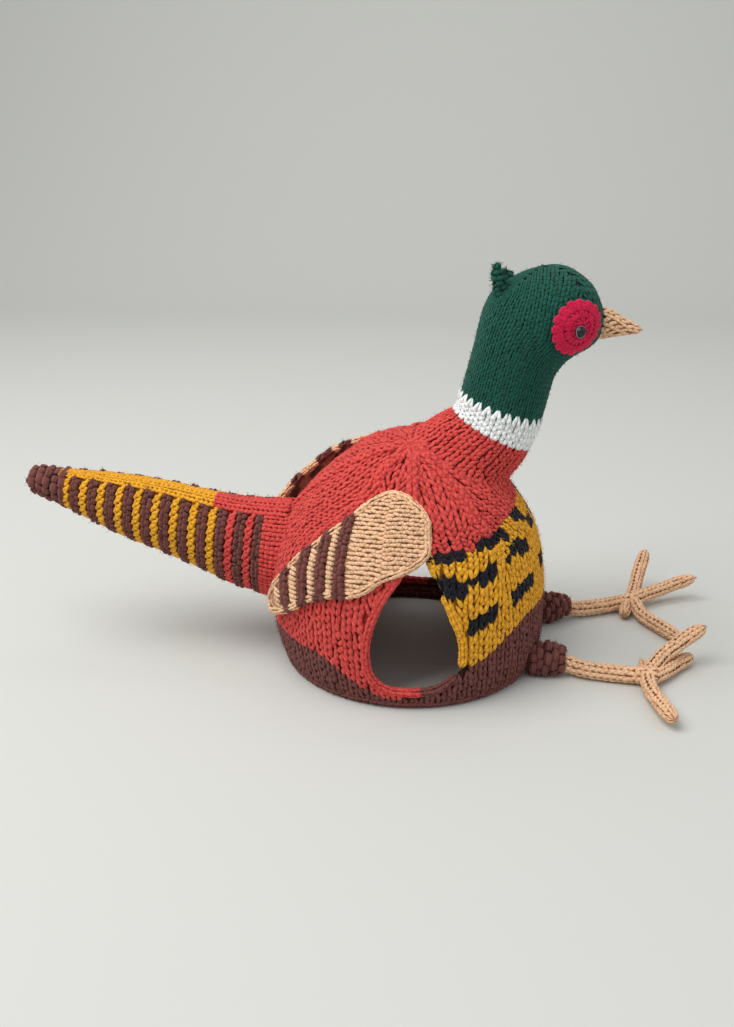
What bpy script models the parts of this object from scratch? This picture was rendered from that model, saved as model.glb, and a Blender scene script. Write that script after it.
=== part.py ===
"""Knitted tea cosy in the form of a cock pheasant, resting on its hem. Metres, +Z up.

The bird looks along +X, and its right side faces -Y. Every piece is modelled about the centre of
the hem on the table, and hangs from one empty that puts the middle of the whole thing at the origin.
"""
import math

import bmesh
import bpy
import numpy as np
from mathutils import Vector
from mathutils.bvhtree import BVHTree

# ---------------------------------------------------------------- driving dimensions
MM = 0.001
HEM_CENTRE = (0.0213, -0.0125, 0.0)      # of the dome, so that the whole is centred on the origin
SEAM_GAP = 0.35 * MM                     # between two pieces that are sewn together
WALL = 4.2 * MM                          # the dome's knitted wall
CUFF_PULL = 3.6 * MM
UNEVENNESS = 0.7 * MM
AROUND_DOME = 48                         # steps round the dome
OUTSIDE_ROWS = 19
INSIDE_ROWS = 14
CUTTER_REACH = 130 * MM                  # of the slits' cutter, past both sides of the dome

WING_THICK = 3.4 * MM
WING_RIDGE = 1.6 * MM                    # how far a brown garter ridge stands out of a wing
WING_RIDGES_AT = (-113.5, -122.8, -131.6, -142.0)    # degrees round the dome
WING_RIDGE_HALF_WIDTH = 2.4              # degrees
WING_LEAN = 4.0                          # degrees that a ridge runs back from its foot to its top

TAIL_RIDGE_PITCH = 12.95 * MM            # one brown and one pale garter ridge
TAIL_FIRST_RIDGE = -231.0 * MM           # the brown ridge next to the tip
TAIL_RIDGES = 11
TAIL_RIDGE_RISE = 1.6 * MM
TAIL_PALE_RISE = 0.7 * MM
TAIL_LEAN = math.radians(5.0)
TAIL_TIP_SECTIONS = (-269.0, -267.5, -264.0, -259.0, -254.0, -248.5, -243.0)      # along X
TAIL_BASE_SECTIONS = (-93.0, -84.0, -74.0)

EYE_FACING = (0.58, 0.81, 0.05)          # which way the left patch looks
DROP_FROM = 50 * MM                      # how far outside the head a drop on to it starts
EYE_RADIUS = 18.0 * MM
EYE_SCALLOPS = 16
EYE_THICK = 2.6 * MM
EYE_CENTRE = (104.0 * MM, 30.0 * MM, 236.0 * MM)
BEAD_AHEAD = (1.4 * MM, 0.0, -1.8 * MM)  # from the middle of the patch
BEAD_RADIUS = 3.5 * MM
BEAD_THICK = 4.0 * MM

TUFT_RADIUS = 3.9 * MM
CUFF_RADIUS = 10.4 * MM
LEG_RADIUS = 5.7 * MM
TOE_RADIUS = 5.1 * MM
HIND_RADIUS = 4.4 * MM

# The dome, from hem to crown: height, radius, and how far the section's centre lies forward.
DOME = (
    # height  radius  forward
    (0.0,     85.5,   3.0),
    (8.0,     90.0,   3.0),
    (22.0,    93.0,   2.0),
    (42.0,    94.5,   1.0),
    (62.0,    94.5,   0.0),
    (82.0,    91.0,   0.5),
    (100.0,   83.8,   1.8),
    (116.0,   73.2,   2.8),
    (130.0,   61.4,   4.5),
    (142.0,   48.0,   6.0),
    (151.5,   32.5,   6.0),
    (157.0,   16.5,   5.0),
    (158.8,   0.0,    3.0),
)

# The open slit in each side, seen from the side: height, rear edge and front edge along X.
SLIT = (
    # height  rear    front
    (13.2,    8.0,    11.0),
    (14.6,    -6.0,   22.0),
    (20.0,    -14.6,  32.5),
    (28.0,    -18.4,  38.5),
    (38.0,    -19.7,  40.0),
    (50.0,    -18.8,  38.6),
    (64.0,    -15.2,  33.2),
    (78.0,    -8.6,   27.6),
    (92.0,    0.6,    21.4),
    (103.0,   7.0,    15.6),
    (107.5,   10.5,   12.0),
)

# Neck and head, from inside the dome to the crown: the hindmost and foremost point of each
# section in the bird's middle plane, and its half width.
NECK_AND_HEAD = (
    # back x  back z  front x  front z  half width
    (-8.0,    146.0,  62.0,    108.0,   40.0),
    (0.5,     157.5,  67.5,    129.0,   38.0),
    (10.5,    164.6,  70.5,    135.0,   34.5),
    (20.5,    171.3,  75.5,    142.0,   31.5),
    (30.5,    177.3,  81.2,    152.7,   29.4),
    (34.3,    188.0,  87.6,    170.0,   28.6),
    (37.9,    203.2,  91.6,    187.0,   28.6),
    (41.5,    218.0,  94.6,    200.0,   29.6),
    (44.2,    231.3,  99.8,    208.4,   31.6),
    (46.8,    242.0,  106.0,   213.8,   33.2),
    (50.6,    251.0,  112.6,   217.7,   34.0),
    (56.0,    257.0,  118.0,   221.6,   33.8),
    (63.0,    261.4,  121.6,   227.2,   32.6),
    (71.0,    265.6,  122.9,   235.0,   30.4),
    (79.5,    268.5,  122.2,   243.0,   27.0),
    (88.0,    270.2,  119.6,   250.0,   22.0),
    (96.0,    269.8,  116.2,   256.2,   15.5),
    (102.0,   267.8,  112.4,   260.6,   8.0),
)

# Tail, from inside the dome to the tip: place along X, height of the middle, half height, half width.
TAIL = (
    # x       middle z  half height  half width
    (-74.0,   71.5,     36.0,        33.0),
    (-90.0,   73.0,     35.0,        32.0),
    (-104.0,  75.4,     33.2,        30.6),
    (-121.0,  78.6,     31.2,        28.8),
    (-144.0,  86.0,     27.8,        26.0),
    (-171.0,  94.6,     24.8,        23.4),
    (-196.0,  101.2,    22.0,        21.0),
    (-222.0,  108.4,    17.2,        16.6),
    (-238.0,  112.8,    13.6,        13.4),
    (-248.0,  115.4,    11.6,        11.4),
    (-258.0,  118.2,    9.8,         9.4),
    (-266.0,  119.8,    7.0,         6.8),
    (-269.0,  120.2,    3.0,         3.0),
)

# Right wing, from the shoulder to the tip: degrees round the dome from +X, the heights of its
# lower and upper edges, and how far it stands off the dome there.
WING = (
    # degrees  low     high    off
    (-78.0,    112.5,  118.5,  0.6),
    (-79.5,    105.5,  125.2,  0.5),
    (-83.0,    102.0,  130.6,  0.5),
    (-88.0,    98.5,   134.6,  0.5),
    (-94.0,    94.2,   136.6,  0.5),
    (-100.0,   90.0,   136.8,  0.6),
    (-106.0,   83.6,   134.0,  0.8),
    (-112.0,   78.2,   129.4,  1.0),
    (-118.0,   76.6,   121.6,  1.2),
    (-124.0,   72.6,   112.0,  1.5),
    (-130.0,   67.0,   102.6,  1.9),
    (-136.0,   60.4,   92.0,   2.4),
    (-142.0,   54.6,   79.6,   2.9),
    (-148.0,   50.0,   69.4,   3.5),
    (-154.0,   46.8,   61.0,   4.2),
    (-157.5,   49.0,   55.5,   4.6),
)

# The left wing is the right one mirrored, its tip held up over the back and off the dome:
# degrees as above, how much higher, and how much further off.
LEFT_WING_FLARE = (
    # degrees  higher  further
    (78.0,     1.0,    0.0),
    (90.0,     2.5,    0.2),
    (101.0,    4.5,    2.4),
    (112.0,    9.6,    6.0),
    (124.0,    20.5,   10.0),
    (136.0,    29.5,   13.0),
    (148.0,    31.5,   15.0),
    (157.5,    32.0,   16.0),
)

# Beak, from inside the head to the tip: place along X, height of the middle, half height, half width.
BEAK = (
    # x      middle z  half height  half width
    (113.0,  234.4,    10.6,        9.6),
    (121.5,  234.4,    10.3,        9.0),
    (128.5,  234.2,    8.8,         7.6),
    (134.0,  232.8,    6.6,         6.0),
    (140.0,  231.6,    4.6,         4.6),
    (145.0,  230.6,    3.0,         3.2),
    (147.0,  230.4,    1.2,         1.4),
)

# Leg routes, from inside the cuff to the joint of the toes, and toe routes from the joint out.
LEG_ROUTES = {
    "right": ((104, -33, 9.6), (112, -33.5, 8.2), (125, -37.5, 6.4), (143, -40.5, 6.0), (158, -42.5, 6.4),
              (167, -45, 8.0)),
    "left": ((108, 51, 10.0), (119, 54.5, 8.8), (132, 58.5, 6.8), (147, 65, 6.2), (161, 71, 6.8),
             (173, 74, 8.0)),
}
TOE_ROUTES = {
    "toe_inner_right": ((168, -38, 9.5), (176, -28, 13), (185, -22.5, 18), (195, -15.5, 22.5), (208.5, -10, 29)),
    "toe_middle_right": ((170, -43, 6.5), (178, -34.5, 5.8), (187, -24, 5.5), (201.5, -9.5, 5.6)),
    "toe_outer_right": ((164, -50, 7.0), (163.8, -60, 6.2), (166.5, -77, 6.6), (171, -103, 9.0)),
    "toe_inner_left": ((175, 66, 7.5), (177.5, 52, 6.4), (185, 38.5, 5.8), (199, 15.5, 5.6)),
    "toe_middle_left": ((175, 76.5, 8.4), (188, 85.5, 9.6), (199, 92, 11), (210, 97, 13.5), (226, 99.5, 18.5)),
    "toe_outer_left": ((172.8, 75.5, 8.6), (177.5, 91, 12), (182, 105, 18.5), (190.5, 127, 30)),
}
HIND_ROUTES = {
    "toe_hind_right": ((164.5, -39, 8.0), (164, -34, 8.4), (163.6, -26, 8.8)),
    "toe_hind_left": ((167.5, 67, 6.4), (166, 61, 5.4), (163.6, 51, 4.8)),
}
# Cuff routes, from inside the dome outwards.
CUFF_ROUTES = {
    "right": ((82, -32, 11.4), (111, -33.2, 11.0)),
    "left": ((80, 41, 11.4), (118, 54, 11.0)),
}

# Ear tufts, from inside the head upwards.
TUFT_ROUTES = {
    "right": ((59.0, -11, 250), (57.0, -11, 257), (54.9, -11.5, 264), (53.6, -11.5, 271)),
    "left": ((66, 7, 252), (64.5, 7.5, 257), (62.0, 8, 261.5), (59.0, 8.5, 264.5)),
}

COLOURS = {
    # slot           red    green  blue   roughness
    "rust_wool":     (0.50, 0.055, 0.045, 0.90),
    "green_wool":    (0.008, 0.075, 0.052, 0.88),
    "brown_wool":    (0.085, 0.030, 0.026, 0.95),
    "gold_wool":     (0.68, 0.34, 0.024, 0.90),
    "tan_wool":      (0.66, 0.37, 0.19, 0.90),
    "magenta_yarn":  (0.48, 0.012, 0.055, 0.85),
    "black_bead":    (0.010, 0.010, 0.012, 0.22),
}


# ---------------------------------------------------------------- small tools
def clear_scene():
    for old in list(bpy.data.objects):
        bpy.data.objects.remove(old, do_unlink=True)
    for old in list(bpy.data.meshes):
        bpy.data.meshes.remove(old)


def make_materials():
    made = {}
    for slot, (red, green, blue, rough) in COLOURS.items():
        material = bpy.data.materials.new(slot)
        material.use_nodes = True
        shader = material.node_tree.nodes["Principled BSDF"]
        shader.inputs["Base Color"].default_value = (red, green, blue, 1.0)
        shader.inputs["Roughness"].default_value = rough
        shader.inputs["Metallic"].default_value = 0.0
        made[slot] = material
    return made


def smooth_rows(rows, count):
    """Reads `count` rows from one smooth curve through the given rows (Catmull-Rom)."""
    points = np.array(rows, dtype=float)
    points = np.vstack([2 * points[0] - points[1], points, 2 * points[-1] - points[-2]])
    spans = len(rows) - 1
    place = np.linspace(0.0, spans, count)
    start = np.minimum(place.astype(int), spans - 1)
    u = (place - start)[:, None]
    a, b, c, d = (points[start + k] for k in range(4))
    return 0.5 * (2 * b + (c - a) * u + (2 * a - 5 * b + 4 * c - d) * u ** 2
                  + (3 * b - a - 3 * c + d) * u ** 3)


def add_object(name, mesh, collection, material=None):
    piece = bpy.data.objects.new(name, mesh)
    collection.objects.link(piece)
    if material:
        mesh.materials.append(material)
    return piece


def tidy_mesh(mesh, smooth_angle=50.0):
    """Merges doubles, turns the faces outwards and shades the piece smooth."""
    work = bmesh.new()
    work.from_mesh(mesh)
    bmesh.ops.remove_doubles(work, verts=work.verts, dist=0.00001)
    bmesh.ops.recalc_face_normals(work, faces=work.faces)
    work.to_mesh(mesh)
    work.free()
    mesh.shade_smooth()
    mesh.set_sharp_from_angle(angle=math.radians(smooth_angle))
    return mesh


def loft(name, rings):
    """A closed body from rings of points, an array (rings, around, 3): quads between one ring
    and the next, and a fan to the middle of the first and of the last ring."""
    count, around = rings.shape[:2]
    points = np.vstack([rings.reshape(-1, 3), rings[0].mean(axis=0), rings[-1].mean(axis=0)])
    step = np.arange(around)
    turn = (step + 1) % around
    faces = []
    for ring in range(count - 1):
        low, high = ring * around, (ring + 1) * around
        faces += np.stack([low + step, low + turn, high + turn, high + step], axis=1).tolist()
    first, last = count * around, count * around + 1
    faces += [(first, int(b), int(a)) for a, b in zip(step, turn)]
    top = (count - 1) * around
    faces += [(last, int(top + a), int(top + b)) for a, b in zip(step, turn)]
    mesh = bpy.data.meshes.new(name)
    mesh.from_pydata(points.tolist(), [], faces)
    return tidy_mesh(mesh)


def sheet(name, inner, outer):
    """A closed sheet between two grids of points, arrays (along, across, 3), with its four edges."""
    along, across = inner.shape[:2]
    points = np.vstack([inner.reshape(-1, 3), outer.reshape(-1, 3)])
    index = np.arange(along * across).reshape(along, across)
    other = index + along * across
    quads = [np.stack([g[:-1, :-1], g[1:, :-1], g[1:, 1:], g[:-1, 1:]], axis=-1).reshape(-1, 4)
             for g in (index, other[:, ::-1])]
    rim = np.concatenate([index[:-1, 0], index[-1, :-1], index[:0:-1, -1], index[0, :0:-1]])
    rim_next = np.roll(rim, -1)
    shift = along * across
    quads.append(np.stack([rim, rim_next, rim_next + shift, rim + shift], axis=1))
    mesh = bpy.data.meshes.new(name)
    mesh.from_pydata(points.tolist(), [], np.vstack(quads).tolist())
    return tidy_mesh(mesh)


def evaluated_mesh(piece):
    """The piece's mesh as its modifiers leave it."""
    bpy.context.view_layer.update()
    graph = bpy.context.evaluated_depsgraph_get()
    return bpy.data.meshes.new_from_object(piece.evaluated_get(graph))


def grown_copy(piece, by, collection):
    """A cutter: the piece with each point moved outwards by `by`."""
    mesh = evaluated_mesh(piece)
    work = bmesh.new()
    work.from_mesh(mesh)
    bmesh.ops.remove_doubles(work, verts=work.verts, dist=0.00001)
    work.normal_update()
    moved = [(vert, vert.co + vert.normal * by * vert.calc_shell_factor()) for vert in work.verts]
    for vert, place in moved:
        vert.co = place
    work.to_mesh(mesh)
    work.free()
    cutter = add_object("cut_" + piece.name, mesh, collection)
    hide_cutter(cutter)
    return cutter


def hide_cutter(cutter):
    cutter.hide_render = True
    cutter.display_type = "WIRE"


def cut_away(piece, cutter):
    """Takes the cutter's space out of the piece."""
    boolean = piece.modifiers.new("cut", "BOOLEAN")
    boolean.operation = "DIFFERENCE"
    boolean.solver = "EXACT"
    boolean.object = cutter


def apply_cuts(piece):
    """Makes what the cuts leave the piece's own mesh."""
    mesh = evaluated_mesh(piece)
    piece.modifiers.clear()
    piece.data = mesh
    tidy_mesh(mesh)


# ---------------------------------------------------------------- the dome's surface
PROFILE = smooth_rows(DOME, 12 * (len(DOME) - 1) + 1) * MM
SLOPE = np.gradient(PROFILE[:, 1], PROFILE[:, 0])


def hem_swell(angle, height):
    """How far the knit is pulled out where the left cuff is sewn on, and its slight unevenness,
    which fades out towards the crown."""
    near_cuff = np.exp(-((np.degrees(angle) - 28.0) / 20.0) ** 2) * np.exp(-(height / (26 * MM)) ** 2)
    waves = np.sin(3 * angle + 0.6) * np.sin(height / (48 * MM) + 0.4)
    below_crown = np.clip((PROFILE[-1, 0] - height) / (50 * MM), 0.0, 1.0)
    return CUFF_PULL * near_cuff + UNEVENNESS * waves * below_crown


def dome_section(height):
    """Radius, forward shift and slope (radius per height) of the smooth profile at a height."""
    radius = np.interp(height, PROFILE[:, 0], PROFILE[:, 1])
    forward = np.interp(height, PROFILE[:, 0], PROFILE[:, 2])
    slope = np.interp(height, PROFILE[:, 0], SLOPE)
    return radius, forward, slope


def dome_point(angle, height, out=0.0):
    """A point `out` along the normal from the dome's outside, at an angle round it and a height."""
    radius, forward, slope = dome_section(height)
    length = np.sqrt(1.0 + slope ** 2)
    reach = radius + hem_swell(angle, height) + out / length
    return np.stack([forward + reach * np.cos(angle), reach * np.sin(angle),
                     height - out * slope / length], axis=-1)


def dome_rings(out, rows, lowest):
    """Rings of the dome's outside moved out by `out`, from the crown down to the hem at `lowest`."""
    profile = smooth_rows(DOME, rows) * MM
    tangent = np.gradient(profile[:, :2], axis=0)
    tangent /= np.linalg.norm(tangent, axis=1, keepdims=True)
    tangent[-1] = (0.0, -1.0)
    angle = np.linspace(0.0, 2 * math.pi, AROUND_DOME, endpoint=False)
    height = profile[:, 0] - out * tangent[:, 1]
    radius = np.maximum(profile[:, 1] + out * tangent[:, 0], 0.2 * MM)
    swell = hem_swell(angle[None, :], profile[:, :1])
    reach = np.where(radius[:, None] > 1 * MM, radius[:, None] + swell, radius[:, None])
    rings = np.stack([profile[:, 2:3] + reach * np.cos(angle), reach * np.sin(angle),
                      np.repeat(height[:, None], AROUND_DOME, axis=1)], axis=-1)
    rings[0, :, 2] = lowest
    return rings[::-1]


def hem_rings(wall):
    """The inner edge of the hem's flat foot, at height zero."""
    angle = np.linspace(0.0, 2 * math.pi, AROUND_DOME, endpoint=False)
    inside = dome_point(angle, np.zeros(AROUND_DOME))
    inside[:, 0] -= wall * np.cos(angle)
    inside[:, 1] -= wall * np.sin(angle)
    return inside[None]


def make_body(parts, cutters, material):
    """The hollow dome: its outside, the hem's foot and its inside as one skin, with the two slits cut."""
    outside = dome_rings(0.0, OUTSIDE_ROWS, 0.0)
    inside = dome_rings(-WALL, INSIDE_ROWS, 2.0 * MM)[::-1]
    skin = np.concatenate([outside, hem_rings(WALL), inside])
    body = add_object("body", loft("body", skin), parts, material)
    rear_and_front = smooth_rows(SLIT, 23) * MM
    outline = np.concatenate([rear_and_front[:, [1, 0]], rear_and_front[::-1][:, [2, 0]]])
    right_end = np.stack([outline[:, 0], np.full(len(outline), -CUTTER_REACH), outline[:, 1]], axis=-1)
    left_end = right_end * (1, -1, 1)
    slit = add_object("cut_slits", loft("cut_slits", np.stack([right_end, left_end])), cutters)
    hide_cutter(slit)
    cut_away(body, slit)
    apply_cuts(body)
    return body


def make_dome_cutter(cutters):
    """The whole dome with the seam's gap round it, for what is sewn on to it."""
    rings = dome_rings(SEAM_GAP, OUTSIDE_ROWS, -WALL)
    cutter = add_object("cut_dome", loft("cut_dome", rings), cutters)
    hide_cutter(cutter)
    return cutter


# ---------------------------------------------------------------- neck, head and tail
def make_neck_and_head(parts, material):
    """Oval sections, each between its hindmost and foremost point, lofted from the dome to the crown."""
    rows = smooth_rows(NECK_AND_HEAD, 32) * MM
    angle = np.linspace(0.0, 2 * math.pi, 26, endpoint=False)
    middle = (rows[:, [0, 1]] + rows[:, [2, 3]]) / 2
    half = (rows[:, [2, 3]] - rows[:, [0, 1]]) / 2
    rings = np.empty((len(rows), len(angle), 3))
    rings[:, :, 0] = middle[:, :1] + half[:, :1] * np.cos(angle)
    rings[:, :, 1] = rows[:, 4:5] * np.sin(angle)
    rings[:, :, 2] = middle[:, 1:] + half[:, 1:] * np.cos(angle)
    return add_object("neck_head", loft("neck_head", rings), parts, material)


def tail_rise(x, side):
    """How far a garter ridge stands out at x: brown ridges high, pale ones low, none on the spine."""
    first, last = TAIL_FIRST_RIDGE, TAIL_FIRST_RIDGE + (TAIL_RIDGES - 1) * TAIL_RIDGE_PITCH
    wave = np.cos(2 * math.pi * (x - first) / TAIL_RIDGE_PITCH)
    rise = np.where(wave > 0, TAIL_RIDGE_RISE * wave, TAIL_PALE_RISE * -wave)
    within = (x > first - TAIL_RIDGE_PITCH / 2) & (x < last + TAIL_RIDGE_PITCH / 4)
    return np.where(within, rise, 0.0) * side


def make_tail(parts, material):
    """Leaning oval sections; four of them to each pair of ridges draw the garter rows."""
    quarter = TAIL_RIDGE_PITCH / 4
    ridged = TAIL_FIRST_RIDGE + quarter * np.arange(-2, 4 * (TAIL_RIDGES - 1) + 2)
    tip = np.array(TAIL_TIP_SECTIONS) * MM
    base = np.array(TAIL_BASE_SECTIONS) * MM
    x = np.concatenate([tip, ridged, base])
    rows = smooth_rows(TAIL, 12 * (len(TAIL) - 1) + 1)[::-1] * MM
    middle, tall, wide = (np.interp(x, rows[:, 0], rows[:, k]) for k in (1, 2, 3))
    angle = np.linspace(0.0, 2 * math.pi, 20, endpoint=False)
    side = np.clip((0.86 - np.cos(angle)) / 0.2, 0.0, 1.0)
    rise = tail_rise(x[:, None], side[None, :])
    rings = np.empty((len(x), len(angle), 3))
    up = (tall[:, None] + rise) * np.cos(angle)
    rings[:, :, 0] = x[:, None] + up * math.tan(TAIL_LEAN)
    rings[:, :, 1] = (wide[:, None] + rise) * np.sin(angle)
    rings[:, :, 2] = middle[:, None] + up
    return add_object("tail", loft("tail", rings), parts, material)


# ---------------------------------------------------------------- wings
def make_wing(name, side, parts, material):
    """A leaf of knitting laid on the dome: stations round the dome, each from its lower to its
    upper edge, with four raised garter ridges near the tip. `side` is -1 for the right wing."""
    rows = smooth_rows(WING, 35)
    across = np.linspace(0.0, 1.0, 7)
    flare = np.array(LEFT_WING_FLARE)
    higher, further = (np.interp(-rows[:, :1], flare[:, 0], flare[:, k]) * MM * (side > 0) for k in (1, 2))
    ridge = sum(np.exp(-((rows[:, 0] - at) / WING_RIDGE_HALF_WIDTH) ** 2) for at in WING_RIDGES_AT)
    turn = rows[:, :1] + WING_LEAN * (0.5 - across)
    height = (rows[:, 1:2] + (rows[:, 2:3] - rows[:, 1:2]) * across) * MM + higher
    standoff = (rows[:, 3:4] * MM) * (1.0 - 0.35 * across) + further
    edge = np.sin(math.pi * np.clip(across, 0.02, 0.98)) ** 0.35
    inner = dome_point(np.radians(turn), height, standoff)
    outer = dome_point(np.radians(turn), height,
                       standoff + WING_THICK * (0.45 + 0.55 * edge) + WING_RIDGE * ridge[:, None] * edge)
    flip = np.array([1.0, -side, 1.0])
    return add_object(name, sheet(name, inner * flip, outer * flip), parts, material)


# ---------------------------------------------------------------- the face
def make_beak(parts, material):
    """Oval sections along X, with the hump that the knitted cone has above its thin tip."""
    rows = smooth_rows(BEAK, 13) * MM
    angle = np.linspace(0.0, 2 * math.pi, 14, endpoint=False)
    rings = np.empty((len(rows), len(angle), 3))
    rings[:, :, 0] = rows[:, :1]
    rings[:, :, 1] = rows[:, 3:4] * np.sin(angle)
    rings[:, :, 2] = rows[:, 1:2] + rows[:, 2:3] * np.cos(angle)
    return add_object("beak", loft("beak", rings), parts, material)


def on_side(place, side):
    """A place or direction given for the left, on the left (1) or right (-1) side of the bird."""
    return Vector((place[0], side * place[1], place[2]))


def seat_on(tree, centre, normal, across_x, across_z, out):
    """Points of a flat grid dropped along -normal on to the surface, then raised by `out`."""
    normal = normal.normalized()
    side = Vector((0, 0, 1)).cross(normal).normalized()
    up = normal.cross(side)
    start = centre + normal * DROP_FROM
    placed = np.empty(across_x.shape + (3,))
    for index in np.ndindex(across_x.shape):
        origin = start + side * float(across_x[index]) + up * float(across_z[index])
        hit, face_normal, _, _ = tree.ray_cast(origin, -normal)
        placed[index] = hit + normal * float(out[index])
    return placed


def make_eye_patch(name, side, head_tree, parts, material):
    """A scalloped round, wrapped on to the head: rings of a disc dropped on to the head's surface."""
    spokes = 2 * EYE_SCALLOPS
    angle = np.linspace(0.0, 2 * math.pi, spokes, endpoint=False)
    rim = np.where(np.arange(spokes) % 2 == 0, 1.0, 0.945)
    fraction = np.array([0.30, 0.68, 0.93, 1.0])
    reach = EYE_RADIUS * fraction[:, None] * np.where(fraction[:, None] > 0.9, rim, 1.0)
    thick = np.array([1.0, 1.0, 0.92, 0.45])[:, None] * np.ones(spokes) * EYE_THICK
    centre, normal = on_side(EYE_CENTRE, side), on_side(EYE_FACING, side)
    across_x, across_z = reach * np.cos(angle), reach * np.sin(angle)
    inner = seat_on(head_tree, centre, normal, across_x, across_z, np.full_like(reach, -0.8 * MM))
    outer = seat_on(head_tree, centre, normal, across_x, across_z, thick + SEAM_GAP)
    rings = np.concatenate([inner, outer[::-1]])
    return add_object(name, loft(name, rings), parts, material)


def make_bead(name, side, patch_tree, parts, material):
    """A flat-backed glass bead, sitting on the patch a little in front of its middle."""
    normal = on_side(EYE_FACING, side).normalized()
    start = on_side(EYE_CENTRE, side) + Vector(BEAD_AHEAD) + normal * DROP_FROM
    hit, seat_normal, _, _ = patch_tree.ray_cast(start, -normal)
    mesh = bpy.data.meshes.new(name)
    work = bmesh.new()
    bmesh.ops.create_uvsphere(work, u_segments=14, v_segments=10, radius=1.0)
    for vert in work.verts:
        vert.co = Vector((vert.co.x * BEAD_RADIUS, vert.co.y * BEAD_RADIUS, vert.co.z * BEAD_THICK))
        vert.co.z = max(vert.co.z, -0.25 * BEAD_THICK)
    bmesh.ops.remove_doubles(work, verts=work.verts, dist=0.00001)
    turned = seat_normal.to_track_quat("Z", "Y").to_matrix()
    for vert in work.verts:
        vert.co = turned @ vert.co + hit + seat_normal * (0.25 * BEAD_THICK + SEAM_GAP)
    work.to_mesh(mesh)
    work.free()
    return add_object(name, tidy_mesh(mesh), parts, material)


def make_tube(name, route, radius, parts, material, first=1.0, taper=0.35, points=9):
    """A round cord: a curve with a bevel along a smooth route, thinned to a blunt end."""
    path = smooth_rows(route, points) * MM
    curve = bpy.data.curves.new(name, "CURVE")
    curve.dimensions = "3D"
    curve.bevel_depth = radius
    curve.bevel_resolution = 3
    curve.use_fill_caps = True
    spline = curve.splines.new("POLY")
    end = path[-1] - path[-2]
    length = np.linalg.norm(end)
    rounded = [path[-1] - end / length * radius * 0.45, path[-1] - end / length * radius * 0.12, path[-1]]
    path = np.vstack([path[:-1], rounded])
    thin = np.ones(len(path))
    thin[0] = first
    thin[-3:] = (0.93, 0.70, taper)
    spline.points.add(len(path) - 1)
    for point, place, width in zip(spline.points, path, thin):
        point.co = (*place, 1.0)
        point.radius = width
    holder = bpy.data.objects.new(name + "_route", curve)
    parts.objects.link(holder)
    mesh = evaluated_mesh(holder)
    bpy.data.objects.remove(holder, do_unlink=True)
    return add_object(name, tidy_mesh(mesh), parts, material)


def make_cuff(side_name, parts, material):
    """A bobbly cuff: rings along its axis whose radius swells and dips like rows of bobbles."""
    start, end = (np.array(point) * MM for point in CUFF_ROUTES[side_name])
    axis = (end - start) / np.linalg.norm(end - start)
    flat = np.cross((0, 0, 1), axis)
    flat /= np.linalg.norm(flat)
    up = np.cross(axis, flat)
    along = np.linspace(0.0, 1.0, 10)
    angle = np.linspace(0.0, 2 * math.pi, 18, endpoint=False)
    close = np.interp(along, (0.0, 0.62, 0.86, 1.0), (1.0, 1.04, 0.92, 0.55))
    bumps = 0.07 * np.cos(6 * angle[None, :] + 2.6 * along[:, None]) * np.cos(9.4 * along[:, None] + 0.7)
    radius = CUFF_RADIUS * (close[:, None] + bumps)
    rings = (start + (end - start) * along[:, None])[:, None, :] \
        + radius[:, :, None] * (np.cos(angle)[:, None] * flat + np.sin(angle)[:, None] * up)
    name = "cuff_" + side_name
    return add_object(name, loft(name, rings), parts, material)


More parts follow.
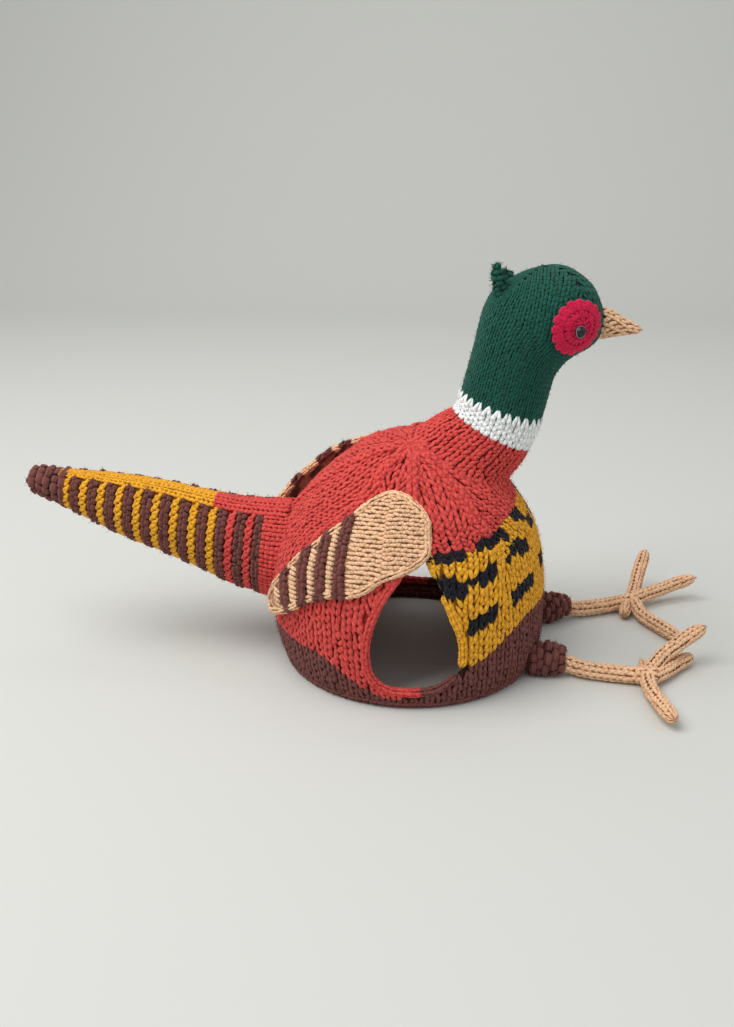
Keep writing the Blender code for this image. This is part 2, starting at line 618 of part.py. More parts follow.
# ---------------------------------------------------------------- the whole
def main():
    clear_scene()
    scene = bpy.context.scene
    parts = bpy.data.collections.new("pheasant_tea_cosy")
    cutters = bpy.data.collections.new("cutters")
    scene.collection.children.link(parts)
    scene.collection.children.link(cutters)
    wool = make_materials()

    body = make_body(parts, cutters, wool["rust_wool"])
    dome = make_dome_cutter(cutters)

    neck_head = make_neck_and_head(parts, wool["green_wool"])
    cut_away(neck_head, dome)
    apply_cuts(neck_head)
    tail = make_tail(parts, wool["gold_wool"])
    cut_away(tail, dome)
    apply_cuts(tail)

    right_wing = make_wing("wing_right", -1, parts, wool["tan_wool"])
    left_wing = make_wing("wing_left", 1, parts, wool["tan_wool"])

    head_cutter = grown_copy(neck_head, SEAM_GAP, cutters)
    beak = make_beak(parts, wool["tan_wool"])
    cut_away(beak, head_cutter)
    apply_cuts(beak)

    head_tree = BVHTree.FromObject(neck_head, bpy.context.evaluated_depsgraph_get())
    pieces = [body, neck_head, tail, right_wing, left_wing, beak]
    for side_name, side in (("right", -1), ("left", 1)):
        patch = make_eye_patch("eye_patch_" + side_name, side, head_tree, parts, wool["magenta_yarn"])
        cut_away(patch, head_cutter)
        apply_cuts(patch)
        bpy.context.view_layer.update()
        patch_tree = BVHTree.FromObject(patch, bpy.context.evaluated_depsgraph_get())
        bead = make_bead("eye_bead_" + side_name, side, patch_tree, parts, wool["black_bead"])
        tuft = make_tube("ear_tuft_" + side_name, TUFT_ROUTES[side_name], TUFT_RADIUS, parts,
                         wool["green_wool"], taper=0.6, points=6)
        cut_away(tuft, head_cutter)
        apply_cuts(tuft)

        cuff = make_cuff(side_name, parts, wool["brown_wool"])
        cut_away(cuff, dome)
        apply_cuts(cuff)
        leg = make_tube("leg_" + side_name, LEG_ROUTES[side_name], LEG_RADIUS, parts, wool["tan_wool"],
                        taper=0.5, points=10)
        cut_away(leg, grown_copy(cuff, SEAM_GAP, cutters))
        apply_cuts(leg)
        taken = [grown_copy(leg, SEAM_GAP, cutters)]
        pieces += [patch, bead, tuft, cuff, leg]
        for name, route in {**TOE_ROUTES, **HIND_ROUTES}.items():
            if not name.endswith(side_name):
                continue
            radius = HIND_RADIUS if "hind" in name else TOE_RADIUS
            toe = make_tube(name, route, radius, parts, wool["tan_wool"], first=0.9, points=8)
            for cutter in taken:
                cut_away(toe, cutter)
            apply_cuts(toe)
            taken.append(grown_copy(toe, SEAM_GAP, cutters))
            pieces.append(toe)

    holder = bpy.data.objects.new("tea_cosy", None)
    holder.location = HEM_CENTRE
    parts.objects.link(holder)
    for piece in pieces:
        piece.parent = holder


main()
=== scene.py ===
"""Dresses the knitted pheasant tea cosy: its yarn, the stage, the light and the camera.

The bird looks along +X and its right side faces -Y. Sizes are worked out about the centre of the hem
on the table, in metres, and HEM_CENTRE takes them to the frame. Every knitted surface is a function of
two parameters, columns across and rows up, and each stitch is a short closed length of yarn laid on it.
"""
import math

import bmesh
import bpy
import numpy as np
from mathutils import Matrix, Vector


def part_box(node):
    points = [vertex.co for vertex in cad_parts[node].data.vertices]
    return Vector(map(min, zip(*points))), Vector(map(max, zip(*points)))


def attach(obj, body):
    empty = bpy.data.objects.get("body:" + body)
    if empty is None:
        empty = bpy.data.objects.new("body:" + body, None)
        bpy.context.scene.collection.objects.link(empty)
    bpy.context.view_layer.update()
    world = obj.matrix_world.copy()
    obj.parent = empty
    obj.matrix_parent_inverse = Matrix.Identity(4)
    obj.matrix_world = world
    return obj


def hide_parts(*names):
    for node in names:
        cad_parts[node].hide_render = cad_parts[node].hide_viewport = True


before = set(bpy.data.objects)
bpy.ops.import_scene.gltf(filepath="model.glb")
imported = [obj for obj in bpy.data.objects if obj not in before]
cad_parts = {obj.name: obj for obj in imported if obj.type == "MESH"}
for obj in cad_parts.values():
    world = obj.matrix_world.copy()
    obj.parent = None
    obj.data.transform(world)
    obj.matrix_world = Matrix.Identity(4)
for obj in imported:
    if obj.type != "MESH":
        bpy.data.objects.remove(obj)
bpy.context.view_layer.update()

bl_info = {
    "name": "Pheasant Tea Cosy",
    "version": (1, 0, 0),
    "blender": (4, 5, 0),
    "location": "3D View > Sidebar > Tea Cosy",
    "description": "Knits the visible surfaces of the pheasant tea cosy over its plain solids",
    "category": "Object",
}

# ---------------------------------------------------------------- sizes that the solids have too
MM = 0.001
HEM_CENTRE = np.array((0.0213, -0.0125, 0.0))
WALL = 4.2 * MM
CUFF_PULL = 3.6 * MM
UNEVENNESS = 0.7 * MM
WING_THICK = 3.4 * MM
WING_RIDGES_AT = {-1: (-115.0, -122.8, -130.8, -139.8), 1: (-129.0, -136.5, -144.5, -152.5)}
WING_LEAN = 4.0                          # degrees that a wing runs back from its foot to its top
WING_RIDGE_LEAN = 2.7                    # degrees that rows lean further back at the upper edge
TAIL_RIDGE_PITCH = 12.95 * MM
TAIL_FIRST_RIDGE = -231.0 * MM
TAIL_RIDGES = 11
TAIL_LEAN = math.radians(5.0)
EYE_FACING = (0.58, 0.81, 0.05)
EYE_CENTRE = (104.0 * MM, 30.0 * MM, 236.0 * MM)
EYE_RADIUS = 18.0 * MM
EYE_SCALLOPS = 16
EYE_THICK = 2.6 * MM

# The dome, from hem to crown: height, radius, and how far the section's centre lies forward.
DOME = ((0, 85.5, 3), (8, 90, 3), (22, 93, 2), (42, 94.5, 1), (62, 94.5, 0), (82, 91, 0.5), (100, 83.8, 1.8),
        (116, 73.2, 2.8), (130, 61.4, 4.5), (142, 48, 6), (151.5, 32.5, 6), (157, 16.5, 5), (158.8, 0, 3))

# The open slit in each side: height, rear edge and front edge along X.
SLIT = ((13.2, 8, 11), (14.6, -6, 22), (20, -14.6, 32.5), (28, -18.4, 38.5), (38, -19.7, 40),
        (50, -18.8, 38.6), (64, -15.2, 33.2), (78, -8.6, 27.6), (92, 0.6, 21.4), (103, 7, 15.6),
        (107.5, 10.5, 12))

# Neck and head: back x, back z, front x, front z and half width of each section, up to the forehead.
NECK_AND_HEAD = (
    (-8, 146, 62, 108, 40), (0.5, 157.5, 67.5, 129, 38), (10.5, 164.6, 70.5, 135, 34.5),
    (20.5, 171.3, 75.5, 142, 31.5), (30.5, 177.3, 81.2, 152.7, 29.4), (34.3, 188, 87.6, 170, 28.6),
    (37.9, 203.2, 91.6, 187, 28.6), (41.5, 218, 94.6, 200, 29.6), (44.2, 231.3, 99.8, 208.4, 31.6),
    (46.8, 242, 106, 213.8, 33.2), (50.6, 251, 112.6, 217.7, 34), (56, 257, 118, 221.6, 33.8),
    (63, 261.4, 121.6, 227.2, 32.6), (71, 265.6, 122.9, 235, 30.4), (79.5, 268.5, 122.2, 243, 27),
    (88, 270.2, 119.6, 250, 22), (96, 269.8, 116.2, 256.2, 15.5), (102, 267.8, 112.4, 260.6, 8),
    (106.4, 265.2, 108.6, 263.6, 0.8))
RING_FROM, RING_TO, FOREHEAD = 4.0, 5.0, 18.0        # sections where the white ring begins and ends

# Tail: place along X, height of the middle, half height, half width.
TAIL = ((-74, 71.5, 36, 33), (-90, 73, 35, 32), (-104, 75.4, 33.2, 30.6), (-121, 78.6, 31.2, 28.8),
        (-144, 86, 27.8, 26), (-171, 94.6, 24.8, 23.4), (-196, 101.2, 22, 21), (-222, 108.4, 17.2, 16.6),
        (-238, 112.8, 13.6, 13.4), (-248, 115.4, 11.6, 11.4), (-258, 118.2, 9.8, 9.4),
        (-266, 119.8, 7, 6.8), (-269, 120.2, 3, 3))

# Right wing, to the knitted edge: degrees round the dome, lower and upper heights, and how far off it is.
WING = ((-78, 110.5, 117.5, 0.6), (-79.5, 103.5, 122, 0.5), (-83, 98.5, 127.5, 0.5), (-88, 93.8, 132.2, 0.5),
        (-94, 90.6, 135.2, 0.5), (-100, 87, 136, 0.6), (-106, 79.8, 133.6, 0.8), (-112, 76, 128, 1),
        (-118, 74.5, 119.4, 1.2), (-124, 71, 111, 1.5), (-130, 66, 102.2, 1.9), (-136, 58.8, 92.4, 2.4),
        (-142, 52.8, 79.5, 2.9), (-148, 48, 69, 3.5), (-152.8, 45, 58.5, 4), (-155.8, 46.5, 53.5, 4.4))
# The left wing's tip stands up: degrees, how much higher, how much further off.
LEFT_WING_FLARE = ((78, 1, 0), (90, 2.5, 0.2), (101, 4.5, 2.4), (112, 9.6, 6), (124, 20.5, 10),
                   (136, 29.5, 13), (148, 31.5, 15), (157.5, 32, 16))

# Beak: place along X, height of the middle, half height, half width.
BEAK = ((113, 234.4, 10.6, 9.6), (121.5, 234.4, 10.3, 9), (128.5, 234.2, 8.8, 7.6), (134, 232.8, 6.6, 6),
        (140, 231.6, 4.6, 4.6), (145, 230.6, 3, 3.2), (147, 230.4, 1.2, 1.4))

# Middle lines of the cords, the cuffs and the ear tufts: places along X, Y and Z.
CORDS = {
    "leg_right": ((104, -33, 9.6), (112, -33.5, 8.2), (125, -37.5, 6.4), (143, -40.5, 6.0), (158, -42.5, 6.4),
                  (167, -45, 8.0)),
    "leg_left": ((108, 51, 10.0), (119, 54.5, 8.8), (132, 58.5, 6.8), (147, 65, 6.2), (161, 71, 6.8),
                 (173, 74, 8.0)),
    "toe_inner_right": ((168, -38, 9.5), (176, -28, 13), (185, -22.5, 18), (195, -15.5, 22.5),
                        (208.5, -10, 29)),
    "toe_middle_right": ((170, -43, 6.5), (178, -34.5, 5.8), (187, -24, 5.5), (201.5, -9.5, 5.6)),
    "toe_outer_right": ((164, -50, 7.0), (163.8, -60, 6.2), (166.5, -77, 6.6), (171, -103, 9.0)),
    "toe_inner_left": ((175, 66, 7.5), (177.5, 52, 6.4), (185, 38.5, 5.8), (199, 15.5, 5.6)),
    "toe_middle_left": ((175, 76.5, 8.4), (188, 85.5, 9.6), (199, 92, 11), (210, 97, 13.5),
                        (226, 99.5, 18.5)),
    "toe_outer_left": ((172.8, 75.5, 8.6), (177.5, 91, 12), (182, 105, 18.5), (190.5, 127, 30)),
    "toe_hind_right": ((164.5, -39, 8.0), (164, -34, 8.4), (163.6, -26, 8.8)),
    "toe_hind_left": ((167.5, 67, 6.4), (166, 61, 5.4), (163.6, 51, 4.8)),
}
CUFFS = {"cuff_right": ((82, -32, 11.4), (111, -33.2, 11.0)), "cuff_left": ((80, 41, 11.4), (118, 54, 11.0))}
TUFTS = {"ear_tuft_right": ((59.0, -11, 250), (57.0, -11, 257), (54.9, -11.5, 264), (53.6, -11.5, 271)),
         "ear_tuft_left": ((66, 7, 252), (64.5, 7.5, 257), (62.0, 8, 261.5), (59.0, 8.5, 264.5))}
CUFF_RADIUS, LEG_RADIUS, TOE_RADIUS, HIND_RADIUS, TUFT_RADIUS = (r * MM for r in (10.4, 5.7, 5.1, 4.4, 3.9))

# ---------------------------------------------------------------- how the pieces are knitted
BODY_COLUMNS = 80
BODY_WEDGES = 8                          # the crown's decreases run in eight lines
BODY_ROW = 5.0 * MM
CROWN_FROM = 11.5                        # first row in which the lines of decreases stand out
CROWN_SPOKES = 14                        # long stitches drawn together at the crown's centre
NECK_SINK, BOBBLE_SINK = -2.5 * MM, -3.6 * MM     # stitches and bobbles end this deep in what covers them
WING_COVERS = 7.0 * MM                   # from its edge inwards a wing hides the dome's stitches
HEM_CLEAR, SLIT_CLEAR = 3.5 * MM, 3.2 * MM        # stitches stay this far from the table and from a slit
# Where the tail hides the dome: it starts along X, middle height, half width and half height.
TAIL_SEAT = (-60 * MM, 73 * MM, 29 * MM, 32 * MM)
BODY_WOOLS = ("brown", "rust", "gold", "navy")
WIDEST = 62.0 * MM                       # height above which columns are decreased
STAR_SHIFT = np.array((0.0, -24.0 * MM))  # the crown's centre lies towards the right side
STAR_FROM = 92.0 * MM
SLIT_AT = 82.0                           # degrees from +X to the middle of each slit
BACK_BROWN, FRONT_BROWN, GOLD_TOP = 34.0 * MM, 54.0 * MM, 123.5 * MM     # levels where the wool changes
NECK_BLEND = 11.0 * MM                   # soft on the right, tight at breast and back

# Dark flecks on both sides of the breast: degrees from +X at both ends, their levels there, half height.
FLECKS = ((77.5, 59.5, 122.5, 122.5, 3.9), (56, 35, 123, 115.5, 4.6), (24, 9, 117.5, 115, 4.6),
          (14.5, 2.5, 107, 104, 5), (78, 62.5, 106.5, 101, 5.6), (61.5, 46, 104, 100, 4.3),
          (40, 22, 100.5, 98, 4.6), (15.5, 4, 78.5, 76, 4.2), (62, 48, 76.5, 79.5, 5.2),
          (41, 23, 74.5, 72.5, 4.8), (72, 62, 50.5, 51, 3.3))

NECK_COLUMNS, NECK_ROW = 26, 3.6 * MM
HEAD_COLUMNS, HEAD_ROW = 44, 3.5 * MM
TAIL_COLUMN = 6.0 * MM
TAIL_GOLD_RIDGES = 9                     # pale ridges from the tip that are gold; the rest are rust
TAIL_ROOT_FROM = -98.0 * MM
TAIL_SINK = -0.7 * MM                    # the tail's ridges lie this much deeper than other stitches
SPINE_HALF_ANGLE = math.radians(23.0)
SPINE_TURN = math.radians(9.0)           # the spine lies a little to the right of the top
SPINE_FROM, SPINE_RED_FROM, SPINE_TO = TAIL_FIRST_RIDGE - 13 * MM, -135.0 * MM, -84 * MM
TIP_ROUNDS = np.arange(-241.0, -266.0, -5.4) * MM    # places of the rounds of bobbles at the tail's tip
WING_COLUMN = 5.4 * MM
WING_ROW, WING_ROW_TALL = 2.54, 4.1 * MM  # degrees, and the same in metres
WING_BUMP = 3.6 * MM                     # width of a bump of a wing's garter ridge
BEAK_ROW = 4.1 * MM
CORD_ROW, CORD_COLUMNS = 4.3 * MM, 4
CORD_SINK = -0.5 * MM
EDGE_RADIUS, HEM_RADIUS, ROLL_RADIUS = 2.2 * MM, 2.9 * MM, 2.5 * MM     # of a slit, the hem and a wing
# Stray fibres on the pieces of one wool.
BODY_FUZZ = {"brown": 5200, "rust": 9000, "gold": 3000, "navy": 600}
NECK_FUZZ = {"rust": 1000, "white": 500, "green": 2600}
TAIL_FUZZ = {"brown": 2600, "gold": 900, "rust": 500}
WING_FUZZ, TUFT_FUZZ = 700, 600

# A knitted stitch is two of these legs, mirrored: columns from its middle, rows up, rise, width. The
# foot lies on top of the row below, and the end goes down behind the row above.
V_LEG = np.array(((0.07, -0.52, 0.15, 0.30), (0.12, -0.26, 0.80, 0.85), (0.20, 0.10, 1.0, 1.0),
                  (0.29, 0.48, 0.95, 0.95), (0.37, 0.86, 0.65, 0.70), (0.43, 1.22, 0.0, 0.15)))
# A stitch of a tighter, smoother knit: its legs stand nearly straight.
FINE_LEG = np.array(((0.17, -0.52, 0.1, 0.30), (0.20, -0.26, 0.80, 0.85), (0.23, 0.10, 1.0, 1.0),
                     (0.27, 0.48, 0.95, 0.95), (0.31, 0.86, 0.60, 0.70), (0.34, 1.20, -0.1, 0.20)))
# The same where a row of plain stitches is squeezed between two ridges: two bars side by side.
BAR = np.array(((0.23, -0.56, -0.2, 0.35), (0.25, -0.32, 0.75, 0.85), (0.26, -0.08, 1.0, 1.0),
                (0.26, 0.14, 1.0, 1.0), (0.25, 0.36, 0.75, 0.85), (0.23, 0.58, -0.2, 0.35)))
# A purl bump: one arch of yarn across a column.
ARCH = np.array(((-0.50, -0.42, -0.5, 0.25), (-0.40, 0.02, 0.62, 0.85), (-0.15, 0.30, 1.0, 1.0),
                 (0.15, 0.30, 1.0, 1.0), (0.40, 0.02, 0.62, 0.85), (0.50, -0.42, -0.5, 0.25)))
# A garter ridge seen from its side: yarn that winds to and fro, one wave to a column.
WAVE = np.array(((-0.56, -0.02, 0.3, 0.8), (-0.34, 0.40, 0.8, 1.0), (-0.12, 0.26, 1.0, 1.0),
                 (0.12, -0.26, 1.0, 1.0), (0.34, -0.40, 0.8, 1.0), (0.56, 0.02, 0.3, 0.8)))
# A bobble: a short fat length of yarn.
BOBBLE = np.array(((0.0, -0.52, -0.3, 0.2), (0.04, -0.38, 0.45, 0.78), (0.02, -0.13, 0.95, 1.0),
                   (-0.02, 0.13, 0.95, 1.0), (-0.04, 0.38, 0.45, 0.78), (0.0, 0.52, -0.3, 0.2)))
# Section of the yarn, flat underneath: across it and up, in half widths.
YARN_ROUND = np.array(((-1.0, 0.0), (-0.58, 0.80), (0.58, 0.80), (1.0, 0.0), (0.0, -0.6)))
# A crocheted post: a tall upright length of yarn.
POST = np.array(((0.0, -0.5, -0.3, 0.4), (0.05, -0.3, 0.5, 0.8), (0.0, -0.1, 0.9, 1.0), (0.0, 0.1, 0.9, 1.0),
                 (-0.05, 0.3, 0.6, 0.8), (0.0, 0.5, -0.3, 0.4)))
# Crochet rounds of an eye: distance from the middle, stitches, path, width and height of a stitch.
EYE_ROUNDS = tuple((r * MM, count, path, 2.9 * MM, tall * MM) for r, count, path, tall in (
    (2.6, 6, ARCH, 2.4), (4.9, 11, POST, 3.4), (7.0, 15, ARCH, 2.6), (9.1, 20, POST, 3.4),
    (11.2, 25, ARCH, 2.6), (13.2, 29, POST, 3.2)))
EYE_RIM = (14.8 * MM, EYE_SCALLOPS, 5.8 * MM, 3.2 * MM)      # scallops: distance, count, width, height
SINK = 1.2 * MM                          # stitches lie this deep in a solid, so that its outside stays
SIZE_VARIES, SLIP_VARIES, TILT_VARIES, TONE_VARIES = 0.05, 0.03, 0.06, 0.17     # from stitch to stitch
FUZZ = 0.13 * MM                         # half the thickness of a stray fibre
PRESSED_BELOW = 0.3 * MM                 # height under which the table flattens the wool
SAME_POINT = 0.02 * MM                   # corners of the solids' faces that are nearer are one point


# ---------------------------------------------------------------- curves
def spline(rows, place):
    """Reads a smooth curve through the rows at places counted in rows (Catmull-Rom)."""
    points = np.asarray(rows, dtype=float)
    points = np.vstack([2 * points[0] - points[1], points, 2 * points[-1] - points[-2]])
    place = np.clip(place, 0.0, len(rows) - 1.0)
    start = np.minimum(place.astype(int), len(rows) - 2)
    t = (place - start)[..., None]
    a, b, c, d = (points[start + k] for k in range(4))
    return 0.5 * (2 * b + (c - a) * t + (2 * a - 5 * b + 4 * c - d) * t ** 2
                  + (3 * b - a - 3 * c + d) * t ** 3)


def fine(rows, per_span=12):
    """The whole smooth curve through the rows, in metres."""
    return spline(rows, np.linspace(0.0, len(rows) - 1.0, per_span * (len(rows) - 1) + 1)) * MM


def run_length(points):
    """Length along a line of points, from its first point."""
    return np.concatenate([[0.0], np.cumsum(np.linalg.norm(np.diff(points, axis=0), axis=1))])


def smoothstep(low, high, value):
    """A share that grows from 0 at low to 1 at high: 3 t squared less 2 t cubed."""
    t = np.clip((value - low) / (high - low), 0.0, 1.0)
    return t * t * (3.0 - 2.0 * t)


def unit(vectors):
    """Vectors divided by their lengths."""
    return vectors / np.maximum(np.linalg.norm(vectors, axis=-1, keepdims=True), 1e-12)


def read(table, at, *columns):
    """Columns of a table, read between its rows by what its first column holds."""
    values = [np.interp(at, table[:, 0], table[:, k]) for k in columns]
    return values[0] if len(values) == 1 else values


def pairs(*axes):
    """Every combination of entries of the axes: one flat array for each axis."""
    return [part.ravel() for part in np.meshgrid(*axes, indexing="ij")]


def halved(outside, shape, low, high, times):
    """Numbers between low and high where `outside` turns true, found by halving."""
    near, far = np.full(shape, low), np.full(shape, high)
    for _ in range(times):
        middle = (near + far) / 2
        out = outside(middle)
        far, near = np.where(out, middle, far), np.where(out, near, middle)
    return far


# ---------------------------------------------------------------- the dome
PROFILE = fine(DOME)
PROFILE_RUN = run_length(PROFILE[:, :2])
# Two more columns: how the radius changes with height, and the length from the hem along the profile.
PROFILE = np.column_stack([PROFILE, np.gradient(PROFILE[:, 1], PROFILE[:, 0]), PROFILE_RUN])
ABOVE_WIDEST = PROFILE[PROFILE[:, 0] >= WIDEST]
WIDEST_RADIUS = 94.5 * MM


def hem_swell(angle, height):
    """How far the knit is pulled out by the left cuff, plus slow waves that fade out at the crown."""
    near_cuff = np.exp(-((np.degrees(angle) - 28.0) / 20.0) ** 2) * np.exp(-(height / (26 * MM)) ** 2)
    waves = np.sin(3 * angle + 0.6) * np.sin(height / (48 * MM) + 0.4)
    below_crown = np.clip((PROFILE[-1, 0] - height) / (50 * MM), 0.0, 1.0)
    return CUFF_PULL * near_cuff + UNEVENNESS * waves * below_crown


def dome_point(angle, height, out=0.0):
    """The dome's profile turned about its axis: a point `out` along the normal, at an angle and height."""
    radius, forward, slope = read(PROFILE, height, 1, 2, 3)
    length = np.sqrt(1.0 + slope ** 2)
    reach = radius + hem_swell(angle, height) + out / length
    return np.stack([forward + reach * np.cos(angle), reach * np.sin(angle),
                     height - out * slope / length], axis=-1)


def from_axis(points):
    """Distance and angle of points from the dome's axis, which lies a little forward at their height."""
    x, y = points[..., 0] - read(PROFILE, points[..., 2], 2), points[..., 1]
    return np.hypot(x, y), np.arctan2(y, x)


def crown_height(radius):
    """Height of the dome above its widest row, at a distance from its axis."""
    return np.interp(radius, ABOVE_WIDEST[::-1, 1], ABOVE_WIDEST[::-1, 0])


def dome_clearance(points):
    """How far points near the crown stand off the dome, measured up and scaled by the slope there."""
    surface = crown_height(from_axis(points)[0])
    steep = 1.0 / np.interp(surface, PROFILE[:, 0], np.minimum(PROFILE[:, 3], -0.05))
    return (points[..., 2] - surface) / np.sqrt(1.0 + steep ** 2)


def droop(angle, level):
    """How far a row hangs below its level: most beside the slits, nothing at breast, back and crown."""
    off_slit = np.abs((np.degrees(angle) + 180.0) % 360.0 - 180.0)
    forward = off_slit < SLIT_AT
    away = np.abs(off_slit - SLIT_AT)
    share = 1.0 - smoothstep(12.0, np.where(forward, 56.0, 46.0), away)
    depth = np.interp(level, (0, 60 * MM, 120 * MM, 150 * MM), (24 * MM, 25 * MM, 16 * MM, 0.0))
    return share * depth


def level_of(row):
    """Height that a row has at the breast and the back: rows are evenly spaced along the profile."""
    return np.interp(row * BODY_ROW, PROFILE_RUN, PROFILE[:, 0])


def column_angle(row):
    """Angle from one column to the next: the same below the widest row, and above it a constant width."""
    radius = read(PROFILE, level_of(row), 1)
    wider = np.where(level_of(row) > WIDEST, WIDEST_RADIUS / np.maximum(radius, 1 * MM), 1.0)
    return 2 * math.pi / BODY_COLUMNS * wider


def body_place(column, row, wedge):
    """The knitted dome: columns run side by side from the middle line of their wedge, rows droop towards
    the slits, and near the top the whole net is shifted over so that its centre is the crown's star."""
    angle = wedge + column * column_angle(row)
    level = level_of(row)
    point = dome_point(angle, level - droop(angle, level))
    over = smoothstep(STAR_FROM, PROFILE[-1, 0], point[..., 2])
    before = crown_height(from_axis(point)[0])
    point[..., :2] += over[..., None] * STAR_SHIFT
    point[..., 2] += np.where(over > 0, crown_height(from_axis(point)[0]) - before, 0.0)
    return point


# ---------------------------------------------------------------- neck and head
NECK_LINE = fine(NECK_AND_HEAD)
NECK_MIDDLE = (NECK_LINE[:, :2] + NECK_LINE[:, 2:4]) / 2
NECK_HALF = (NECK_LINE[:, 2:4] - NECK_LINE[:, :2]) / 2
NECK_PLACES = np.linspace(0.0, FOREHEAD, len(NECK_LINE))


def neck_point(angle, place):
    """Oval sections: the section's middle, plus its half depth by the cosine and half width by the sine."""
    row = spline(NECK_AND_HEAD, np.asarray(place, dtype=float)) * MM
    middle, half = (row[..., :2] + row[..., 2:4]) / 2, (row[..., 2:4] - row[..., :2]) / 2
    return np.stack([middle[..., 0] + half[..., 0] * np.cos(angle), row[..., 4] * np.sin(angle),
                     middle[..., 1] + half[..., 1] * np.cos(angle)], axis=-1)


def neck_clearance(points):
    """Signed distance to the neck and head, from the section whose plane holds the point; in front of the
    last section's plane, the distance to that plane."""
    flat = points.reshape(-1, 3)
    off = flat[:, None, ::2] - NECK_MIDDLE[None]
    half_length = np.linalg.norm(NECK_HALF, axis=1)
    across = np.abs(off[..., 0] * NECK_HALF[:, 1] - off[..., 1] * NECK_HALF[:, 0]) / half_length
    best = np.argmin(across, axis=1)
    pick = np.arange(len(flat))
    along = (off[pick, best] * NECK_HALF[best]).sum(axis=1) / half_length[best] ** 2
    oval = np.hypot(along, flat[:, 1] / NECK_LINE[best, 4])
    reach = np.hypot(along * half_length[best], flat[:, 1])
    distance = reach * (1.0 - 1.0 / np.maximum(oval, 0.05))
    past = (off[:, -1, 1] * NECK_HALF[-1, 0] - off[:, -1, 0] * NECK_HALF[-1, 1]) / half_length[-1]
    return np.maximum(distance, past).reshape(points.shape[:-1])


HEAD_FROM = 9.5                          # above this section the rounds close in on the crown
HEAD_CROWN = unit(np.array((0.16, 0.0, 0.99)))
HEAD_MIDDLE = neck_point(np.array((0.0, math.pi)), HEAD_FROM + np.zeros(2)).mean(axis=0)


def head_way(angle, share):
    """Directions from the head's middle, swung from a point of its widest section towards the crown by a
    share of the angle between the two."""
    start = unit(neck_point(angle, HEAD_FROM + 0.0 * angle) - HEAD_MIDDLE)
    swing = np.arccos(np.clip(start @ HEAD_CROWN, -1.0, 1.0))
    first, last = np.sin((1.0 - share) * swing) / np.sin(swing), np.sin(share * swing) / np.sin(swing)
    return first[..., None] * start + last[..., None] * HEAD_CROWN


def head_reaches():
    """Distances from the head's middle to its surface on a grid of angles and shares, each averaged with
    its neighbours."""
    angle, share = np.meshgrid(np.linspace(0.0, 2 * math.pi, 97), np.linspace(0.0, 1.0, 41), indexing="ij")
    way = head_way(angle, share)
    far = halved(lambda reach: neck_clearance(HEAD_MIDDLE + reach[..., None] * way) > 0, angle.shape,
                 10 * MM, 70 * MM, 13)
    ring = np.concatenate([far[-2:-1], far, far[1:2]])
    far = (ring[:-2] + 2 * far + ring[2:]) / 4
    far[:, 1:-1] = (far[:, :-2] + 2 * far[:, 1:-1] + far[:, 2:]) / 4
    return far


HEAD_REACHES = head_reaches()


def tube_point(angle, place):
    """Sections of the neck up to HEAD_FROM. The next whole step is rounds about the head's middle that
    close at the crown, whose distance is read between the four nearest entries of the table."""
    share = np.clip(place - HEAD_FROM, 0.0, 0.985)
    a, b = angle % (2 * math.pi) / (2 * math.pi) * 96, share * 40
    i, j = np.minimum(a.astype(int), 95), np.minimum(b.astype(int), 39)
    s, t = a - i, b - j
    reach = ((1 - s) * ((1 - t) * HEAD_REACHES[i, j] + t * HEAD_REACHES[i, j + 1])
             + s * ((1 - t) * HEAD_REACHES[i + 1, j] + t * HEAD_REACHES[i + 1, j + 1]))
    above = HEAD_MIDDLE + reach[..., None] * head_way(angle, share)
    return np.where((share > 0)[..., None], above, neck_point(angle, np.minimum(place, HEAD_FROM)))


def tube_table():
    """For places along the tube: the mean length of eight columns up to there, and the round's girth."""
    place = np.linspace(0.0, HEAD_FROM + 1.0, 421)
    angle = 2 * math.pi / 48 * np.arange(48)
    grid = tube_point(*np.meshgrid(angle, place, indexing="ij"))
    steps = np.linalg.norm(np.diff(grid[::6], axis=1), axis=2).mean(axis=0)
    round_it = np.linalg.norm(grid - np.roll(grid, 1, axis=0), axis=2).sum(axis=0)
    return place, np.concatenate([[0.0], np.cumsum(steps)]), round_it / (2 * math.pi)


TUBE_PLACE, TUBE_RUN, TUBE_GIRTH = tube_table()


def blend_out(points, distance):
    """How far a surface swells to meet another one at this distance: a soft fillet (a quadratic), deep
    beside the neck on the right and shallow in front and behind (a bell curve about its middle)."""
    beside = np.exp(-((points[..., 0] - 18 * MM) / (26 * MM)) ** 2) * np.where(points[..., 1] < 0, 1.0, 0.7)
    depth = NECK_BLEND * (0.3 + 0.7 * beside)
    near = np.clip(1.0 - np.abs(distance) / depth, 0.0, 1.0)
    return near ** 2 * depth / 4


# ---------------------------------------------------------------- tail, wings, beak and cords
TAIL_LINE = fine(TAIL)[::-1]


def tail_point(angle, x):
    """Ovals along X that lean back with their height."""
    middle, tall, wide = read(TAIL_LINE, x, 1, 2, 3)
    up = tall * np.cos(angle)
    return np.stack([x + up * math.tan(TAIL_LEAN), wide * np.sin(angle), middle + up], axis=-1)


WING_LINE = spline(WING, np.linspace(0.0, len(WING) - 1.0, 181))[::-1]
FLARE = np.array(LEFT_WING_FLARE)


def wing_edges(degrees):
    """Heights of a wing's lower and upper edge, and how far it stands off, at degrees round the dome."""
    return [edge * MM for edge in read(WING_LINE, degrees, 1, 2, 3)]


